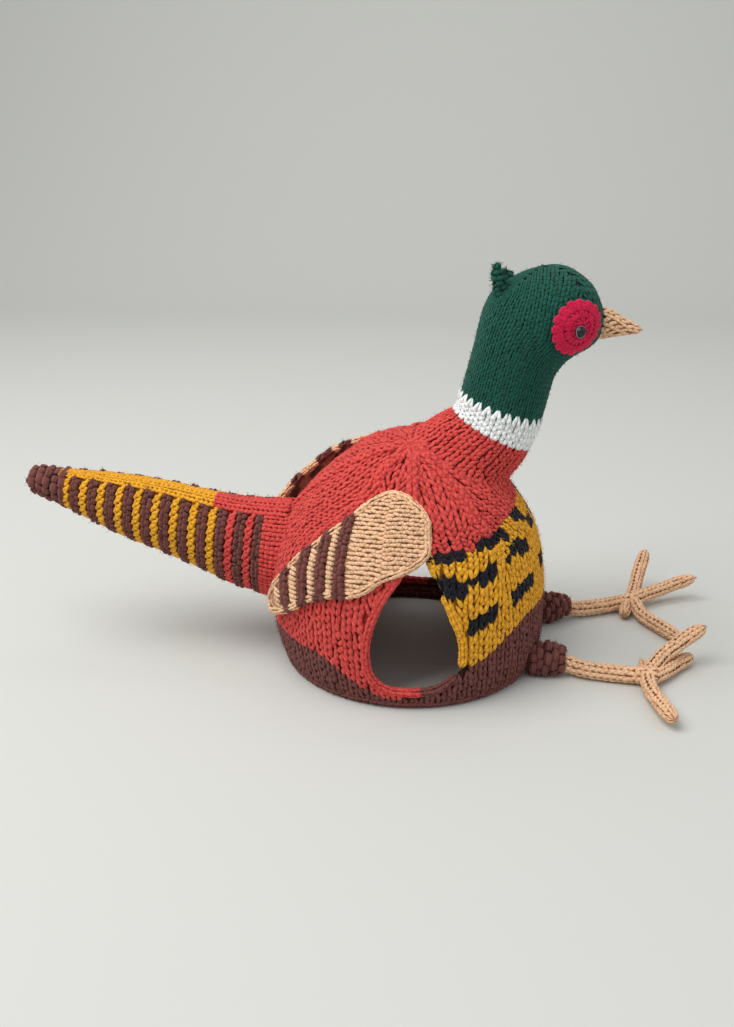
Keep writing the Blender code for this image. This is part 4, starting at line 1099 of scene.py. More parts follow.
class COSY_OT_body(bpy.types.Operator):
    """Knits the hollow dome: brown hem, rust back and sides, gold breast with dark flecks"""
    bl_idname = "cosy.body"
    bl_label = "Body"

    def execute(self, context):
        row, column, wedge = body_lattice()
        kind = body_wool(wedge + column * column_angle(row), level_of(row + 0.5))
        for index, wool_name in enumerate(BODY_WOOLS):
            mine = kind == index
            bundles = self.stitches(column[mine], row[mine], wedge[mine], body_yarn(), 11 + index)
            if wool_name == "rust":
                bundles += self.crown(body_yarn())
            knitted("body", bundles, wool_name, BODY_FUZZ[wool_name], 3.1 * MM, 21 + index)[0]
        cloth = under_cloth("body_cloth", "body", 1.4 * MM, "rust", self.dye_and_shade, self.swell)
        return {"FINISHED"}

    def stitches(self, column, row, wedge, yarn, seed, **more):
        """Plain stitches at columns and rows of their wedges."""
        def surface(u, v):
            return body_place(u, v, wedge[:, None, None])

        bundles = v_stitches(surface, column, row, body_column(), BODY_ROW, (1.0, 1.0), yarn, seed,
                             path=V_LEG, **{"wild": 1.5, **more})
        return self.raised(bundles)

    def crown(self, yarn):
        """The eight lines of decreases, whose stitches ride over their neighbours, and the long stitches
        that are drawn together where they meet."""
        top = PROFILE_RUN[-1] / BODY_ROW
        rows, border = pairs(np.arange(CROWN_FROM, top - 0.6), np.arange(BODY_WEDGES))
        border = border * 2 * math.pi / BODY_WEDGES
        points = body_place(0 * rows, rows + 0.4, border)
        clear = (neck_clearance(points) > NECK_SINK) & ~under_wing(points, WING_COVERS)
        clear &= ~in_slit(points, 4.0 * MM) & (body_wool(border, level_of(rows + 0.5)) == 1)
        fat = (yarn[0] * 1.1, yarn[1] * 1.15)
        lines = self.stitches(0 * rows[clear], rows[clear], border[clear], fat, 16, wild=1.6, base=0.9 * MM)
        spoke = 2 * math.pi * (np.arange(CROWN_SPOKES) + 0.3) / CROWN_SPOKES
        start = np.full(CROWN_SPOKES, top - 2.3) + 0.35 * np.cos(5 * spoke)
        clear = neck_clearance(body_place(0 * start, start, spoke)) > -1.0 * MM
        centre = spoke[clear][:, None, None]

        def gathered(u, v):
            return body_place(u, v, centre)

        long_leg = V_LEG * (0.15, 1.25, 1.0, 1.0)
        star = strands(gathered, 0 * start[clear], start[clear], long_leg, 7.4 * MM, BODY_ROW, (1.0, 1.0),
                       yarn, 18, wild=2.0, base=0.9 * MM)
        return lines + self.raised([star])

    # Colours of the fabric behind the stitches: each wool's colour, darkened as painted shade.
    def dye_and_shade(self, points):
        return dye_in_shade(BODY_WOOLS, body_wool_at(points))

    def swell(self, points):
        """Where the neck leaves the dome the cloth rises to meet it, and behind it there is a low hump."""
        near_top = smoothstep(100 * MM, 120 * MM, points[:, 2])
        behind = np.exp(-((points[:, 0] + 8 * MM) / (24 * MM)) ** 2)
        hump = behind * smoothstep(125 * MM, 150 * MM, points[:, 2])
        return near_top * blend_out(points, neck_clearance(points)) + 2.2 * MM * hump

    def raised(self, bundles):
        """The same rise for the stitches, mostly upwards and away from the dome's axis."""
        return risen(bundles, self.swell, (5 * MM, 0.0, 60 * MM))


class COSY_OT_neck_head(bpy.types.Operator):
    """Knits the neck and head in one tube: rust, the white ring, green"""
    bl_idname = "cosy.neck_head"
    bl_label = "Neck and head"

    def execute(self, context):
        fine_width, fine_rise = fine_yarn()
        tight = (fine_width * 0.86, fine_rise * 0.85)
        yarn = body_yarn()
        fat = (yarn[0] * 1.12, yarn[1])
        spike = V_LEG * (1.0, 1.5, 1.0, 0.9)
        neck = NECK_COLUMNS, NECK_ROW
        red = self.band(0.0, RING_FROM, *neck, yarn, 31, wild=1.5)
        white = self.band(RING_FROM, RING_TO, *neck, fat, 36)
        white += self.band(RING_TO - 0.22, RING_TO + 0.02, *neck, yarn, 38, path=spike, base=0.5 * MM)
        green = self.band(RING_TO, HEAD_FROM + 1.0, HEAD_COLUMNS, HEAD_ROW, tight, 41, wedges=4,
                          path=FINE_LEG)
        crown = HEAD_MIDDLE + (HEAD_REACHES[0, -1] + 0.2 * MM) * HEAD_CROWN
        left = np.array((0.0, 1.0, 0.0))
        green.append(knot(crown, np.cross(left, HEAD_CROWN), left, 2.3 * MM, tight, 6.4 * MM, 45))
        for wool_name, bundles in (("rust", red), ("white", white), ("green", green)):
            knitted("neck", bundles, wool_name, NECK_FUZZ[wool_name], 3.0 * MM, 28)
        cloth = under_cloth("neck_head_cloth", "neck_head", 1.4 * MM, "green", self.dye_and_shade, self.swell)
        return {"FINISHED"}

    def band(self, start, end, columns, row, yarn, seed, wedges=1, path=V_LEG, **more):
        """Rounds of stitches between two places of the tube. The columns keep their width where the head
        narrows, so they are decreased along the lines between wedges."""
        first, last = (np.interp(place, TUBE_PLACE, TUBE_RUN) for place in (start, end))
        rows = max(1, round((last - first) / row))
        places = np.interp(np.linspace(first, last, rows + 1), TUBE_RUN, TUBE_PLACE)
        widest = np.interp(HEAD_FROM, TUBE_PLACE, TUBE_GIRTH)
        column = np.arange(columns // wedges) - (columns // wedges - 1) / 2
        j, k, c = pairs(np.arange(rows - (end > HEAD_FROM)), column, 2 * math.pi / wedges * np.arange(wedges))

        def turn(place):
            girth = np.maximum(np.interp(place, TUBE_PLACE, TUBE_GIRTH), 1 * MM)
            wider = np.where(place > HEAD_FROM, np.maximum(widest / girth, 1.0), 1.0)
            return 2 * math.pi / columns * wider

        def place_of(v):
            below, above = np.minimum(v, 0.0), np.maximum(v - rows, 0.0)
            return (np.interp(v, np.arange(rows + 1), places) + below * (places[1] - places[0])
                    + above * (places[-1] - places[-2]))

        points = tube_point(c + k * turn(place_of(j)), place_of(j + 0.5))
        keep = np.abs(k) * turn(place_of(j)) < math.pi / wedges * 1.001
        keep &= dome_clearance(points) > -1.5 * MM
        j, k, c = j[keep], k[keep], c[keep]

        def surface(u, v):
            place = place_of(v)
            return tube_point(c[:, None, None] + u * turn(place), place)

        girth = np.interp((start + min(end, HEAD_FROM)) / 2, TUBE_PLACE, TUBE_GIRTH)
        width = 2 * math.pi * girth / columns
        bundles = v_stitches(surface, k, j, width, row, (1.0, 1.0), yarn, seed, path=path, **more)
        return risen(bundles, self.swell, (30 * MM, 0.0, 140 * MM), upward=0.3)

    def swell(self, points):
        """The rise that meets the dome; for the stitches it leads away from the neck's middle line."""
        return blend_out(points, dome_clearance(points)) * (points[:, 2] < 175 * MM)

    def dye_and_shade(self, points):
        """Colours by the place along the tube of the section nearest to each point, darkened as painted shade
        for the fabric behind the stitches.
        """
        flat = points[:, None, ::2] - NECK_MIDDLE[None]
        across = np.abs(flat[..., 0] * NECK_HALF[:, 1] - flat[..., 1] * NECK_HALF[:, 0])
        place = NECK_PLACES[np.argmin(across / np.linalg.norm(NECK_HALF, axis=1), axis=1)]
        kind = np.where(place < RING_FROM, 0, np.where(place < RING_TO, 1, 2))
        return dye_in_shade(("rust", "white", "green"), kind)


class COSY_OT_slits_and_hem(bpy.types.Operator):
    """Finishes the two slits and the hem with a knitted edge"""
    bl_idname = "cosy.slits_and_hem"
    bl_label = "Slits and hem"

    def execute(self, context):
        edges = [self.slit_edge(side) for side in (1, -1)] + [self.hem_edge()]
        for index, wool_name in enumerate(BODY_WOOLS[:3]):
            bundles = []
            for number, cord in enumerate(edges):
                bundles += self.edging(cord, index, 71 + 10 * number + index)
            wool_piece("edge_stitches_" + wool_name, bundles, wool_name)
        return {"FINISHED"}

    def wall_cord(self, angle, height, depth, radius):
        """A closed cord at a depth in the dome's wall."""
        middle, outside = (dome_point(angle, height, out) for out in (-depth * WALL, 5 * MM))
        return Cord(middle, radius, upward=unit(outside - middle), closed=True)

    def slit_edge(self, side):
        """The slit's outline, seen from the side, moved a little into the cloth and laid in the middle of
        the dome's wall."""
        line = fine(SLIT, 8)
        outline = np.concatenate([line[:, 1::-1], line[::-1, 2::-2], line[:1, 1::-1]])
        ahead = unit(np.roll(outline, -1, axis=0) - np.roll(outline, 1, axis=0))
        x, z = (outline + 1.5 * MM * ahead[:, ::-1] * (-1, 1)).T
        radius, forward = read(PROFILE, z, 1, 2)
        angle = side * np.arccos(np.clip((x - forward) / radius, -1.0, 1.0))
        return self.wall_cord(angle, z, 0.45, EDGE_RADIUS)

    def hem_edge(self):
        """A round edge that stands on the table all round."""
        angle = np.linspace(0.0, 2 * math.pi, 161)
        return self.wall_cord(angle, np.full_like(angle, 3.0 * MM), 0.4, HEM_RADIUS)

    def edging(self, cord, index, seed):
        """Rounds of plain stitches about the edge, in the wool of the cloth beside it."""
        angle, distance, steps = cord.rounds(3, BODY_ROW)
        mine = body_wool_at(cord.at(cord.points, distance)) == index
        width = 2 * math.pi * cord.radius / 3 * 1.25
        return v_stitches(cord.surface, angle[mine], distance[mine], width, BODY_ROW, steps, body_yarn(),
                          seed)


class COSY_OT_inside(bpy.types.Operator):
    """Knits the purl side of the dome, which shows through the slits and from below"""
    bl_idname = "cosy.inside"
    bl_label = "Inside"

    def execute(self, context):
        row, column, wedge = body_lattice(inside=True)
        kind = body_wool(wedge + column * column_angle(row), level_of(row + 0.5))
        for index, wool_name in enumerate(BODY_WOOLS):
            mine = kind == index
            centre = wedge[mine][:, None, None]

            def surface(u, v, centre=centre):
                return body_place(-u, v, centre)

            bundles = [strands(surface, -column[mine], row[mine] + 0.4, ARCH[[0, 1, 4, 5]], body_column(),
                               BODY_ROW, (1.0, 1.0), body_yarn(), 91 + index, base=WALL)]
            wool_piece("inside_stitches_" + wool_name, bundles, wool_name)
        return {"FINISHED"}


class COSY_OT_tail(bpy.types.Operator):
    """Knits the tail: garter ridges round it, a plain spine along its top and a brown tip"""
    bl_idname = "cosy.tail"
    bl_label = "Tail"

    def execute(self, context):
        yarn = body_yarn()
        bundles = {"brown": [], "gold": [], "rust": []}
        for number in range(TAIL_RIDGES):
            x = TAIL_FIRST_RIDGE + number * TAIL_RIDGE_PITCH
            bundles["brown"] += self.brown_ridge(x, 431 + number)
            pale = "gold" if number < TAIL_GOLD_RIDGES else "rust"
            bundles[pale] += self.pale_ridge(x - TAIL_RIDGE_PITCH / 2, yarn, 171 + 2 * number)
        bundles["brown"] += self.tip()
        bundles["gold"] += self.spine(SPINE_FROM, SPINE_RED_FROM, yarn)
        bundles["rust"] += self.spine(SPINE_RED_FROM, SPINE_TO, yarn) + self.root(yarn)
        for wool_name, fibres in TAIL_FUZZ.items():
            knitted("tail", bundles[wool_name], wool_name, fibres, 3.4 * MM, 128)
        cloth = under_cloth("tail_cloth", "tail", 2.2 * MM, "gold", self.dye_and_shade)
        return {"FINISHED"}

    def surface(self, u, v):
        return tail_point(-u, v)

    def lay_round(self, x, angle, path, width, row, step, yarn, seed, **more):
        """A round of yarn at x, one length of it at each angle."""
        return strands(self.surface, angle, np.full_like(angle, x), path, width, row, (step, row), yarn, seed,
                       base=TAIL_SINK, **more)

    def girth(self, x):
        """Mean radius of the tail at x."""
        return np.interp(x, TAIL_LINE[:, 0], np.sqrt(TAIL_LINE[:, 2] * TAIL_LINE[:, 3]))

    def round_of(self, x, width):
        """Angles of as many stitches as fit round the tail at x, leaving the spine free."""
        free = 2 * math.pi - 2 * SPINE_HALF_ANGLE
        count = round(free * self.girth(x) / width)
        step = free / count
        return SPINE_TURN + SPINE_HALF_ANGLE + step * (np.arange(count) + 0.5), step

    def brown_ridge(self, x, seed):
        """One broad garter ridge: two rounds of bumps side by side, half a bump apart."""
        wide, tall = 4.0 * MM, 4.4 * MM
        angle, step = self.round_of(x, wide)
        return [self.lay_round(x + half * 1.35 * MM, angle + half * 0.25 * step, BOBBLE, wide, tall, step,
                               (2.2 * MM, 3.8 * MM), seed + 300 * half, wild=2.4) for half in (-1, 1)]

    def pale_ridge(self, x, yarn, seed):
        """One narrow garter ridge: two yarns that wind about each other."""
        angle, step = self.round_of(x, TAIL_COLUMN)
        row = TAIL_RIDGE_PITCH / 3.1
        thin = (yarn[0] * 0.88, yarn[1] * 1.05)
        return [self.lay_round(x + up * row, angle + half * step, WAVE, TAIL_COLUMN, row, step, thin,
                               seed + number, wild=0.8)
                for number, (up, half) in enumerate(((0.12, 0.0), (-0.12, 0.5)))]

    def spine(self, start, end, yarn):
        """Plain stitches in three columns along the top."""
        row, step = TAIL_RIDGE_PITCH / 4, 2 * SPINE_HALF_ANGLE / 3
        x, column = pairs(np.arange(start, end, row), np.arange(3) - 1.0)
        return v_stitches(self.surface, SPINE_TURN + column * step, x, TAIL_COLUMN, row, (step, row), yarn,
                          221, base=TAIL_SINK)

    def root(self, yarn):
        """Plain rounds next to the dome."""
        row = 3.5 * MM
        angle, step = self.round_of(TAIL_ROOT_FROM, TAIL_COLUMN)
        x, turn = pairs(TAIL_ROOT_FROM + row * np.arange(8), angle)
        outside = beyond_dome(tail_point(-turn, x)) > -1.5 * MM
        return v_stitches(self.surface, turn[outside], x[outside], TAIL_COLUMN, row, (step, row), yarn, 231)

    def tip(self):
        """Brown bobbles from the first ridge to the very end."""
        bundles, tall = [], 6.4 * MM
        for number, x in enumerate(TIP_ROUNDS):
            count = max(4, round(2 * math.pi * self.girth(x) / (6.6 * MM)))
            angle = 2 * math.pi / count * (np.arange(count) + 0.5 * (number % 2))
            bundles.append(self.lay_round(x, angle, BOBBLE, 6 * MM, tall, 2 * math.pi / count,
                                          (3.4 * MM, 4.4 * MM), 241 + number, wild=2.4))
        end = np.array((-265.2 * MM, 0.0, 119.8 * MM))
        right, upward = np.array((0.0, -1.0, 0.0)), np.array((0.0, 0.0, 1.0))
        return bundles + [knot(end, right, upward, 3.6 * MM, (2.6 * MM, 4.2 * MM), 7.6 * MM, 247)]

    def dye_and_shade(self, points):
        """Brown where a cosine along the tail is positive, with the pale wools between, and the spine. The
        colours are darkened as painted shade for the fabric behind the stitches.
        """
        x = points[:, 0] - (points[:, 2] - read(TAIL_LINE, points[:, 0], 1)) * math.tan(TAIL_LEAN)
        wave = np.cos(2 * math.pi * (x - TAIL_FIRST_RIDGE) / TAIL_RIDGE_PITCH)
        last = TAIL_FIRST_RIDGE + (TAIL_RIDGES - 1) * TAIL_RIDGE_PITCH
        middle, tall, wide = read(TAIL_LINE, x, 1, 2, 3)
        angle = np.arctan2(-points[:, 1] / wide, (points[:, 2] - middle) / tall)
        on_top = np.abs(angle - SPINE_TURN) < SPINE_HALF_ANGLE
        pale = np.where(x < np.where(on_top, SPINE_RED_FROM, last - 1.7 * TAIL_RIDGE_PITCH), 1, 2)
        brown = ((wave > 0) & (x < last + TAIL_RIDGE_PITCH / 4) & ~on_top) | (x < TIP_ROUNDS[0])
        return dye_in_shade(("brown", "gold", "rust"), np.where(brown, 0, pale))


class COSY_OT_wings(bpy.types.Operator):
    """Knits the two wings: plain tan, brown garter ridges towards the tip, and a rolled edge"""
    bl_idname = "cosy.wings"
    bl_label = "Wings"

    def execute(self, context):
        for name, side in (("right", -1), ("left", 1)):
            edge_plain, edge_brown = self.edge(side)
            wing, cloth_name = "wing_" + name, "wing_cloth_" + name
            pieces = knitted(wing, self.plain(side) + edge_plain, "tan", WING_FUZZ, 2.6 * MM, 261)
            pieces += knitted(wing, self.ridges(side) + edge_brown, "brown", WING_FUZZ, 3.4 * MM, 262)
            points = self.cloth(side)
            faces = (face[:, ::-side] for face in ring_faces(points))
            mesh = new_mesh(cloth_name, points.reshape(-1, 3), *faces)
            tag(mesh, "dye_and_shade", self.dye_and_shade(points.reshape(-1, 3), side))
            cloth = add_piece(cloth_name, mesh, cloth_material())
            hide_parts(wing)
        return {"FINISHED"}

    def surface(self, side):
        """Columns up the wing (the profile's own length) and rows back along it (in degrees)."""
        def place(u, v):
            height = np.interp(-side * u, PROFILE_RUN, PROFILE[:, 0])
            low, high, _ = wing_edges(-v)
            across = np.clip((height - low) / (high - low), 0.0, 1.0)
            return wing_point(-v - self.lean(v) * across, height, side)
        return place

    def lean(self, row):
        """Degrees that a row leans back between the lower and the upper edge."""
        return WING_RIDGE_LEAN * smoothstep(92.0, 113.0, row)

    def columns_at(self, degrees, margin, width=WING_COLUMN):
        """Places of as many columns as fit between the wing's edges, along the profile from the hem."""
        low, high = wing_edges(degrees)[0], wing_edges(degrees - self.lean(-degrees))[1]
        start, end = (read(PROFILE, height, 4) for height in (low + margin, high - margin))
        count = int((end - start) / width + 0.45)
        return (start + end) / 2 + width * (np.arange(count) - (count - 1) / 2) if count > 0 else np.empty(0)

    def plain(self, side):
        """Plain stitches up to the first ridge, and one squeezed row of bars between ridges."""
        surface, yarn, ridges = self.surface(side), fine_yarn(), WING_RIDGES_AT[side]
        rows = np.arange(79.2, -ridges[0] - 3.0, WING_ROW)
        run, row = np.array([(run, row) for row in rows for run in self.columns_at(-row - 1.2, 3.4 * MM)]).T
        bundles = v_stitches(surface, -side * run, row, WING_COLUMN, WING_ROW_TALL, (WING_COLUMN, WING_ROW),
                             yarn, 211 + side)
        fat = (yarn[0] * 1.1, yarn[1] * 1.1)
        for number, (near, far) in enumerate(zip(ridges, (*ridges[1:], ridges[-1] - 10.0))):
            run = self.columns_at((near + far) / 2, 3.0 * MM)
            row = np.full_like(run, -(near + far) / 2)
            gap = (near - far - 1.8) / 2
            for mirror in (1.0, -1.0):
                bundles.append(strands(surface, -side * run, row, BAR, WING_COLUMN, gap * 1.62 * MM,
                                       (WING_COLUMN, gap), fat, 215 + 2 * number + side, mirror=mirror))
        return bundles

    def ridges(self, side):
        """Broad bumpy garter ridges, two rows of bumps each, that run past the wing's edges."""
        bundles, row_degrees = [], 4.6 / 4.1 * WING_ROW
        for number, at in enumerate(WING_RIDGES_AT[side]):
            for half in (-1, 1):
                run = self.columns_at(at, 0.4 * MM, WING_BUMP) + half * 0.7 * MM
                row = np.full_like(run, -at + half * 0.9)
                bundles.append(strands(self.surface(side), -side * run, row, BOBBLE, WING_BUMP, 4.6 * MM,
                                       (WING_BUMP, row_degrees), (2.1 * MM, 3.5 * MM),
                                       231 + side + 10 * number + half, wild=2.6))
        return bundles + [self.ridge_ends(side)]

    def ridge_ends(self, side):
        """The last bump of each ridge, which stands on the wing's upper edge."""
        ridges = np.array(WING_RIDGES_AT[side])
        degrees = ridges - self.lean(-ridges)
        high = wing_edges(degrees)[1] - 1.0 * MM
        top = wing_point(degrees, high, side, -1.6 * MM)
        back = unit(wing_point(degrees - 1.0, high, side, -1.6 * MM) - top)
        beside = unit(np.cross(back, (0.0, 0.0, 1.0)))
        start, right, ahead = (ends[:, None, None] for ends in (top, beside, back))

        def flat(u, v):
            return start + u[..., None] * right + v[..., None] * ahead

        wide, tall = 4 * MM, 5.4 * MM
        return strands(flat, 0 * ridges, 0 * ridges, BOBBLE, wide, tall, (wide, tall), (2.4 * MM, 4.4 * MM),
                       266 + side, wild=2.0)

    def edge(self, side):
        """A rolled edge of plain stitches all round, a little inside the outline, and apart those that
        cross a brown ridge."""
        degrees = np.linspace(-80.0, -154.0, 80)
        low, high, _ = wing_edges(degrees)
        lower = wing_point(degrees, low + 2.3 * MM, side, -1.5 * MM)
        upper = wing_point(degrees, high - 2.3 * MM, side, -1.5 * MM)
        points = np.concatenate([lower, upper[::-1], lower[:1]])
        forward = read(PROFILE, points[:, 2], 2)
        upward = unit(points - np.stack([forward, 0 * forward, points[:, 2] - 20 * MM], axis=1))
        cord = Cord(points, ROLL_RADIUS, upward=upward, closed=True)
        angle, distance, steps = cord.rounds(3, 5.0 * MM)
        brown = self.ridge_here(cord.at(cord.points, distance), side) > 0.5
        return [v_stitches(cord.surface, angle[pick], distance[pick], 5.4 * MM, 5.0 * MM, steps, fine_yarn(),
                           271 + side, wild=1.6) for pick in (~brown, brown)]

    def cloth(self, side):
        """The wing itself: an oval section from the lower to the upper edge, carried back along it, its
        outer half under the stitches and its inner half on the dome."""
        around = 28
        degrees, turn = np.meshgrid(np.linspace(-79.0, -154.9, 64), 2 * math.pi / around * np.arange(around),
                                    indexing="ij")
        low, high, _ = wing_edges(degrees)
        height = (low + high) / 2 - np.cos(turn) * ((high - low) / 2 - 1.5 * MM)
        return wing_point(degrees, height, side, -1.4 * MM - 0.9 * MM * (1.0 - np.sin(turn)))

    def ridge_here(self, points, side):
        """Whether a brown ridge passes through points of a wing: their angle, with the wing's lean and the
        ridge's taken back, is near that of a ridge."""
        degrees = -np.abs(np.degrees(from_axis(points)[1]))
        higher = read(FLARE, -degrees, 1) * MM * (side > 0)
        low, high, _ = wing_edges(degrees)
        across = np.clip((points[:, 2] - higher - low) / (high - low), 0.0, 1.0)
        degrees = degrees - WING_LEAN * (0.5 - across) + self.lean(-degrees) * across
        return sum(np.abs(degrees - at) < 2.0 for at in WING_RIDGES_AT[side])

    # Colours of the wing's fabric: tan and brown, darkened as painted shade.
    def dye_and_shade(self, points, side):
        return dye_in_shade(("tan", "brown"), (self.ridge_here(points, side) > 0).astype(int))


class COSY_OT_beak(bpy.types.Operator):
    """Knits the beak"""
    bl_idname = "cosy.beak"
    bl_label = "Beak"

    def execute(self, context):
        half_width, rise = fine_yarn()
        bundles = []
        for number, x in enumerate(np.arange(115.0, 144.0, BEAK_ROW / MM) * MM):
            girth = np.interp(x, BEAK_LINE[:, 0], np.sqrt(BEAK_LINE[:, 2] * BEAK_LINE[:, 3]))
            count = max(4, round(2 * math.pi * girth / (6.6 * MM)))
            step, width = 2 * math.pi / count, 2 * math.pi * girth / count
            angle = step * np.arange(count)
            angle = angle[neck_clearance(beak_point(angle, np.full(count, x))) > -2 * MM]
            yarn = (min(half_width * 1.1, width * 0.25), rise)
            bundles += v_stitches(self.surface, -angle, np.full_like(angle, x), width, BEAK_ROW,
                                  (step, BEAK_ROW), yarn, 301 + number, path=V_LEG, base=-0.3 * MM)
        wool_piece("beak_stitches", bundles, "tan")
        under_cloth("beak_cloth", "beak", 1.5 * MM, "tan")
        return {"FINISHED"}

    def surface(self, u, v):
        return beak_point(-u, v)


class COSY_OT_eyes(bpy.types.Operator):
    """Crochets the two rounds about the eyes and sets the beads on them"""
    bl_idname = "cosy.eyes"
    bl_label = "Eyes"

    def execute(self, context):
        for name, side in (("right", -1), ("left", 1)):
            self.patch(name, side)
            self.bead(name, side)
        return {"FINISHED"}

    def patch(self, name, side):
        """Rounds of crochet on a disc dropped on to the head: a quadratic fitted to the head's surface
        gives the seat of each point."""
        normal = unit(np.array(EYE_FACING) * (1, side, 1))
        across = unit(np.cross((0, 0, 1), normal))
        upward = np.cross(normal, across)
        centre = np.array(EYE_CENTRE) * (1, side, 1)
        line = np.linspace(-1, 1, 13)
        grid = np.stack(np.meshgrid(line, line), -1).reshape(-1, 2) * EYE_RADIUS
        depth = drop_on_head(centre + grid[:, :1] * across + grid[:, 1:] * upward, normal)
        x, y = grid.T / EYE_RADIUS
        terms = np.stack([np.ones_like(x), x, y, x * x, x * y, y * y], axis=1)
        fit = np.linalg.lstsq(terms, depth, rcond=None)[0]

        def disc(u, v):
            """u is the angle and v the distance from the middle."""
            x, y = v * np.cos(u) * -1, v * np.sin(u)
            a, b = x / EYE_RADIUS, y / EYE_RADIUS
            seat = fit[0] + fit[1] * a + fit[2] * b + fit[3] * a * a + fit[4] * a * b + fit[5] * b * b
            raised = (seat + EYE_THICK)[..., None] * normal
            return centre + x[..., None] * across + y[..., None] * upward + raised

        yarn = (1.45 * MM, 1.35 * MM)
        bundles = []
        rounds = [(reach, count, path, width, row, 1.5) for reach, count, path, width, row in EYE_ROUNDS]
        reach, count, width, row = EYE_RIM
        rounds += [(reach - inward, count, ARCH, width, row, 1.0) for inward in (0.0, 1.6 * MM)]
        for number, (reach, count, path, width, row, wild) in enumerate(rounds):
            step = 2 * math.pi / count
            bundles.append(strands(disc, step * np.arange(count), np.full(count, reach), path, width, row,
                                   (step, row), yarn, 321 + number, wild=wild, base=1.0 * MM))
        wool_piece("eye_stitches_" + name, bundles, "magenta")
        under_cloth("eye_cloth_" + name, "eye_patch_" + name, 0.4 * MM, "magenta",
                              shrink=(centre, 0.87))

    def bead(self, name, side):
        """A domed bead, a sphere squashed along its axis, with a thin pale rim round it, a painted reflection
        of the light on the bead's edge.
        """
        low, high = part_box("eye_bead_" + name)
        centre = (np.array(low) + np.array(high)) / 2 - HEM_CENTRE
        normal = Vector(unit(np.array(EYE_FACING) * (1, side, 1)))
        centre += side * 1.6 * MM * unit(np.cross((0, 0, 1), normal))
        turned = np.array(normal.to_track_quat("Z", "Y").to_matrix())
        glass = material_for("bead_glass", clouded, (0.006, 0.006, 0.008), (0.02, 0.02, 0.024), 400.0,
                             Roughness=0.16, Specular_IOR_Level=0.32)
        glint_grey = material_for("bead_rim", clouded, (0.13, 0.14, 0.15), (0.24, 0.26, 0.27), 600.0,
                            Roughness=0.35)
        for part, points, joined, material in (("eye_bead_", self.dome_of_bead(), False, glass),
                                               ("eye_glint_rim_", self.glint_rim_of_bead(), True, glint_grey)):
            placed = points.reshape(-1, 3) @ turned.T + centre
            mesh = new_mesh(part + name, placed, *ring_faces(points, joined))
            piece = add_piece(part + name, mesh, material)
            if part == "eye_bead_":
                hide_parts("eye_bead_" + name)

    def dome_of_bead(self):
        """Rings of a sphere, 3.3 mm in radius and 3.0 mm tall above its middle."""
        rise, turn = np.meshgrid(np.linspace(-0.35, 0.49, 15) * math.pi, math.pi / 16 * np.arange(32),
                                 indexing="ij")
        return self.rings(3.3 * MM * np.cos(rise), turn, 3.0 * MM * np.sin(rise))

    def glint_rim_of_bead(self):
        """A ring of circles, 0.3 mm in radius, about the bead: a painted reflection."""
        round_it, turn = np.meshgrid(math.pi / 4 * np.arange(8), math.pi / 20 * np.arange(40), indexing="ij")
        reach = 3.55 * MM + 0.3 * MM * np.cos(round_it)
        return self.rings(reach, turn, 0.3 * MM * np.sin(round_it) + 0.1 * MM)

    def rings(self, reach, turn, height):
        return np.stack([reach * np.cos(turn), reach * np.sin(turn), height], axis=-1)


class COSY_OT_tufts_and_cuffs(bpy.types.Operator):
    """Bobbly ear tufts and leg cuffs"""
    bl_idname = "cosy.tufts_and_cuffs"
    bl_label = "Tufts and cuffs"

    def execute(self, context):
        def cuff(share):
            """Its radius, by the share of its length: thicker at two thirds, and round at the end."""
            return CUFF_RADIUS * np.interp(share, (0, 0.62, 0.86, 1), (1, 1.04, 0.92, 0.62))

        def tuft(share):
            """The same, tapered."""
            return TUFT_RADIUS * np.interp(share, (0, 0.5, 0.85, 1), (1.0, 0.95, 0.75, 0.4))

        for routes, kind, shape, count, size, pitch, off, inset in (
                (CUFFS, "brown", cuff, 8, (3.7 * MM, 3.6 * MM), 5.0 * MM, beyond_dome, 0.3 * MM),
                (TUFTS, "green", tuft, 5, (2.3 * MM, 2.8 * MM), 3.3 * MM, neck_clearance, 1.2 * MM)):
            for number, (name, route) in enumerate(routes.items()):
                cord = Cord(fine(route, 24), shape)
                angle, distance = self.bobbles(cord, count, pitch)
                keep = off(cord.point(angle, distance)) > BOBBLE_SINK
                tall = pitch * 1.15
                bundles = [strands(cord.surface, angle[keep], distance[keep], BOBBLE, size[0] * 2, tall,
                                   (2 * math.pi / count, tall), size, 401 + number, wild=3.0, base=0.2 * MM)]
                knitted(name, bundles, kind, TUFT_FUZZ, 3.0 * MM, 411, ending="")
                under_cloth(name + "_cloth", name, inset, kind)
        return {"FINISHED"}

    def bobbles(self, cord, count, pitch):
        """Angles and distances of rings of bobbles, each ring turned by half a bobble."""
        rings = np.arange(0.3 * pitch, cord.length + 0.3 * pitch, pitch)
        distance, angle = pairs(rings, 2 * math.pi / count * np.arange(count))
        return angle + (distance / pitch).astype(int) % 2 * math.pi / count, distance


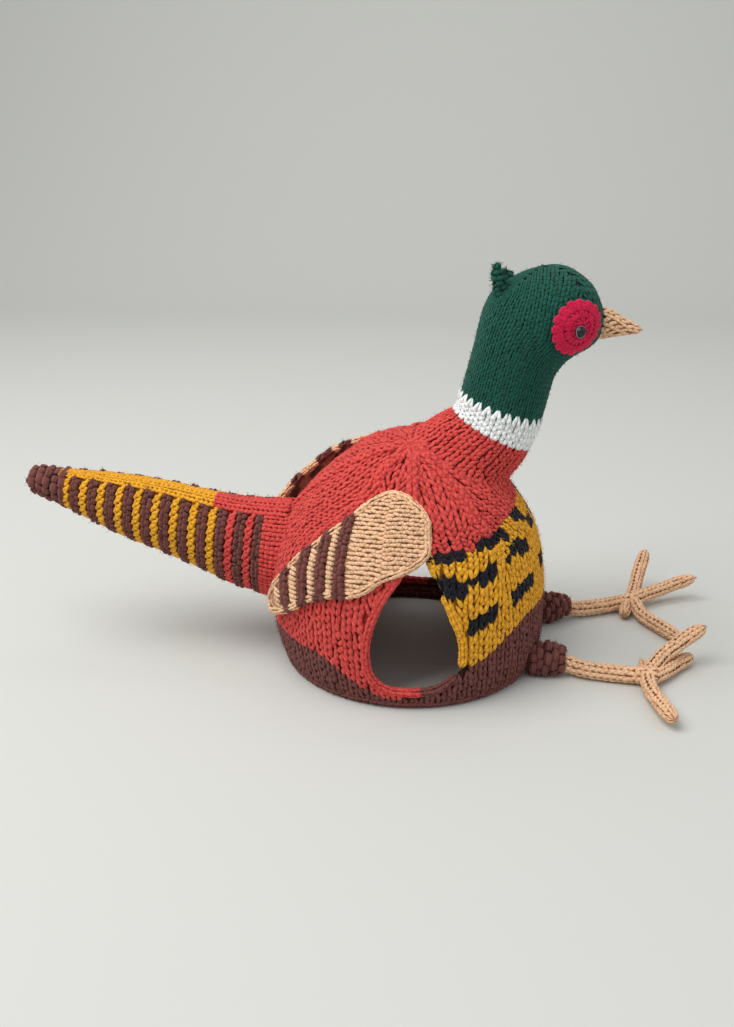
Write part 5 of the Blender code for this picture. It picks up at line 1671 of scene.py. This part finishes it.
class COSY_OT_feet(bpy.types.Operator):
    """Knits the legs and toes as round cords of four stitches"""
    bl_idname = "cosy.feet"
    bl_label = "Legs and toes"

    def execute(self, context):
        step = 2 * math.pi / CORD_COLUMNS
        for number, (name, route) in enumerate(CORDS.items()):
            leg = "leg" in name
            radius = LEG_RADIUS if leg else HIND_RADIUS if "hind" in name else TOE_RADIUS
            line = fine(route, 16)
            cord = Cord(line, radius if leg else self.blunt(radius, run_length(line)[-1]))
            first, past_end = (-1.0, 2.0 * MM) if leg else (-0.6, -2.6 * MM)
            rows = np.arange(first, (cord.length + past_end) / CORD_ROW) * CORD_ROW
            distance, angle = pairs(rows, step * np.arange(CORD_COLUMNS) + 0.5)
            width = 2 * math.pi * radius / CORD_COLUMNS
            yarn = (0.20 * width, fine_yarn()[1] * 1.25)
            bundles = v_stitches(cord.surface, angle, distance, width, CORD_ROW, (step, CORD_ROW), yarn,
                                 451 + 2 * number, path=V_LEG, base=CORD_SINK)
            wool_piece(name + "_stitches", bundles, "tan")
            under_cloth(name + "_cloth", name, 1.9 * MM, "tan")
        return {"FINISHED"}

    def blunt(self, radius, length):
        """The radius along a cord, thinned over its last few millimetres."""
        def at(share):
            left = (1.0 - share) * length
            return radius * np.interp(left, (0.0, 1.5 * MM, 4.5 * MM, 11.0 * MM), (0.12, 0.45, 0.78, 1.0))
        return at


OPERATORS = (COSY_OT_stage, COSY_OT_body, COSY_OT_slits_and_hem, COSY_OT_inside, COSY_OT_neck_head,
             COSY_OT_tail, COSY_OT_wings, COSY_OT_beak, COSY_OT_eyes, COSY_OT_tufts_and_cuffs, COSY_OT_feet)


class COSY_PT_panel(bpy.types.Panel):
    """Lists the settings and the operators in the 3D view's sidebar"""
    bl_label = "Tea Cosy"
    bl_idname = "COSY_PT_panel"
    bl_space_type = "VIEW_3D"
    bl_region_type = "UI"
    bl_category = "Tea Cosy"

    def draw(self, context):
        for settings in (context.scene.cosy_wools, context.scene.cosy_knit, context.scene.cosy_stage):
            box = self.layout.box()
            for name in settings.__annotations__:
                box.prop(settings, name)
        for operator in OPERATORS:
            self.layout.operator(operator.bl_idname)


CLASSES = (CosyWools, CosyKnit, CosyStage, *OPERATORS, COSY_PT_panel)


def register():
    for kind in CLASSES:
        bpy.utils.register_class(kind)
    bpy.types.Scene.cosy_wools = bpy.props.PointerProperty(type=CosyWools)
    bpy.types.Scene.cosy_knit = bpy.props.PointerProperty(type=CosyKnit)
    bpy.types.Scene.cosy_stage = bpy.props.PointerProperty(type=CosyStage)


def unregister():
    del bpy.types.Scene.cosy_wools, bpy.types.Scene.cosy_knit, bpy.types.Scene.cosy_stage
    for kind in reversed(CLASSES):
        bpy.utils.unregister_class(kind)


def main():
    register()
    for operator in OPERATORS:
        getattr(bpy.ops.cosy, operator.bl_idname.split(".")[1])()


if __name__ == "__main__":
    main()
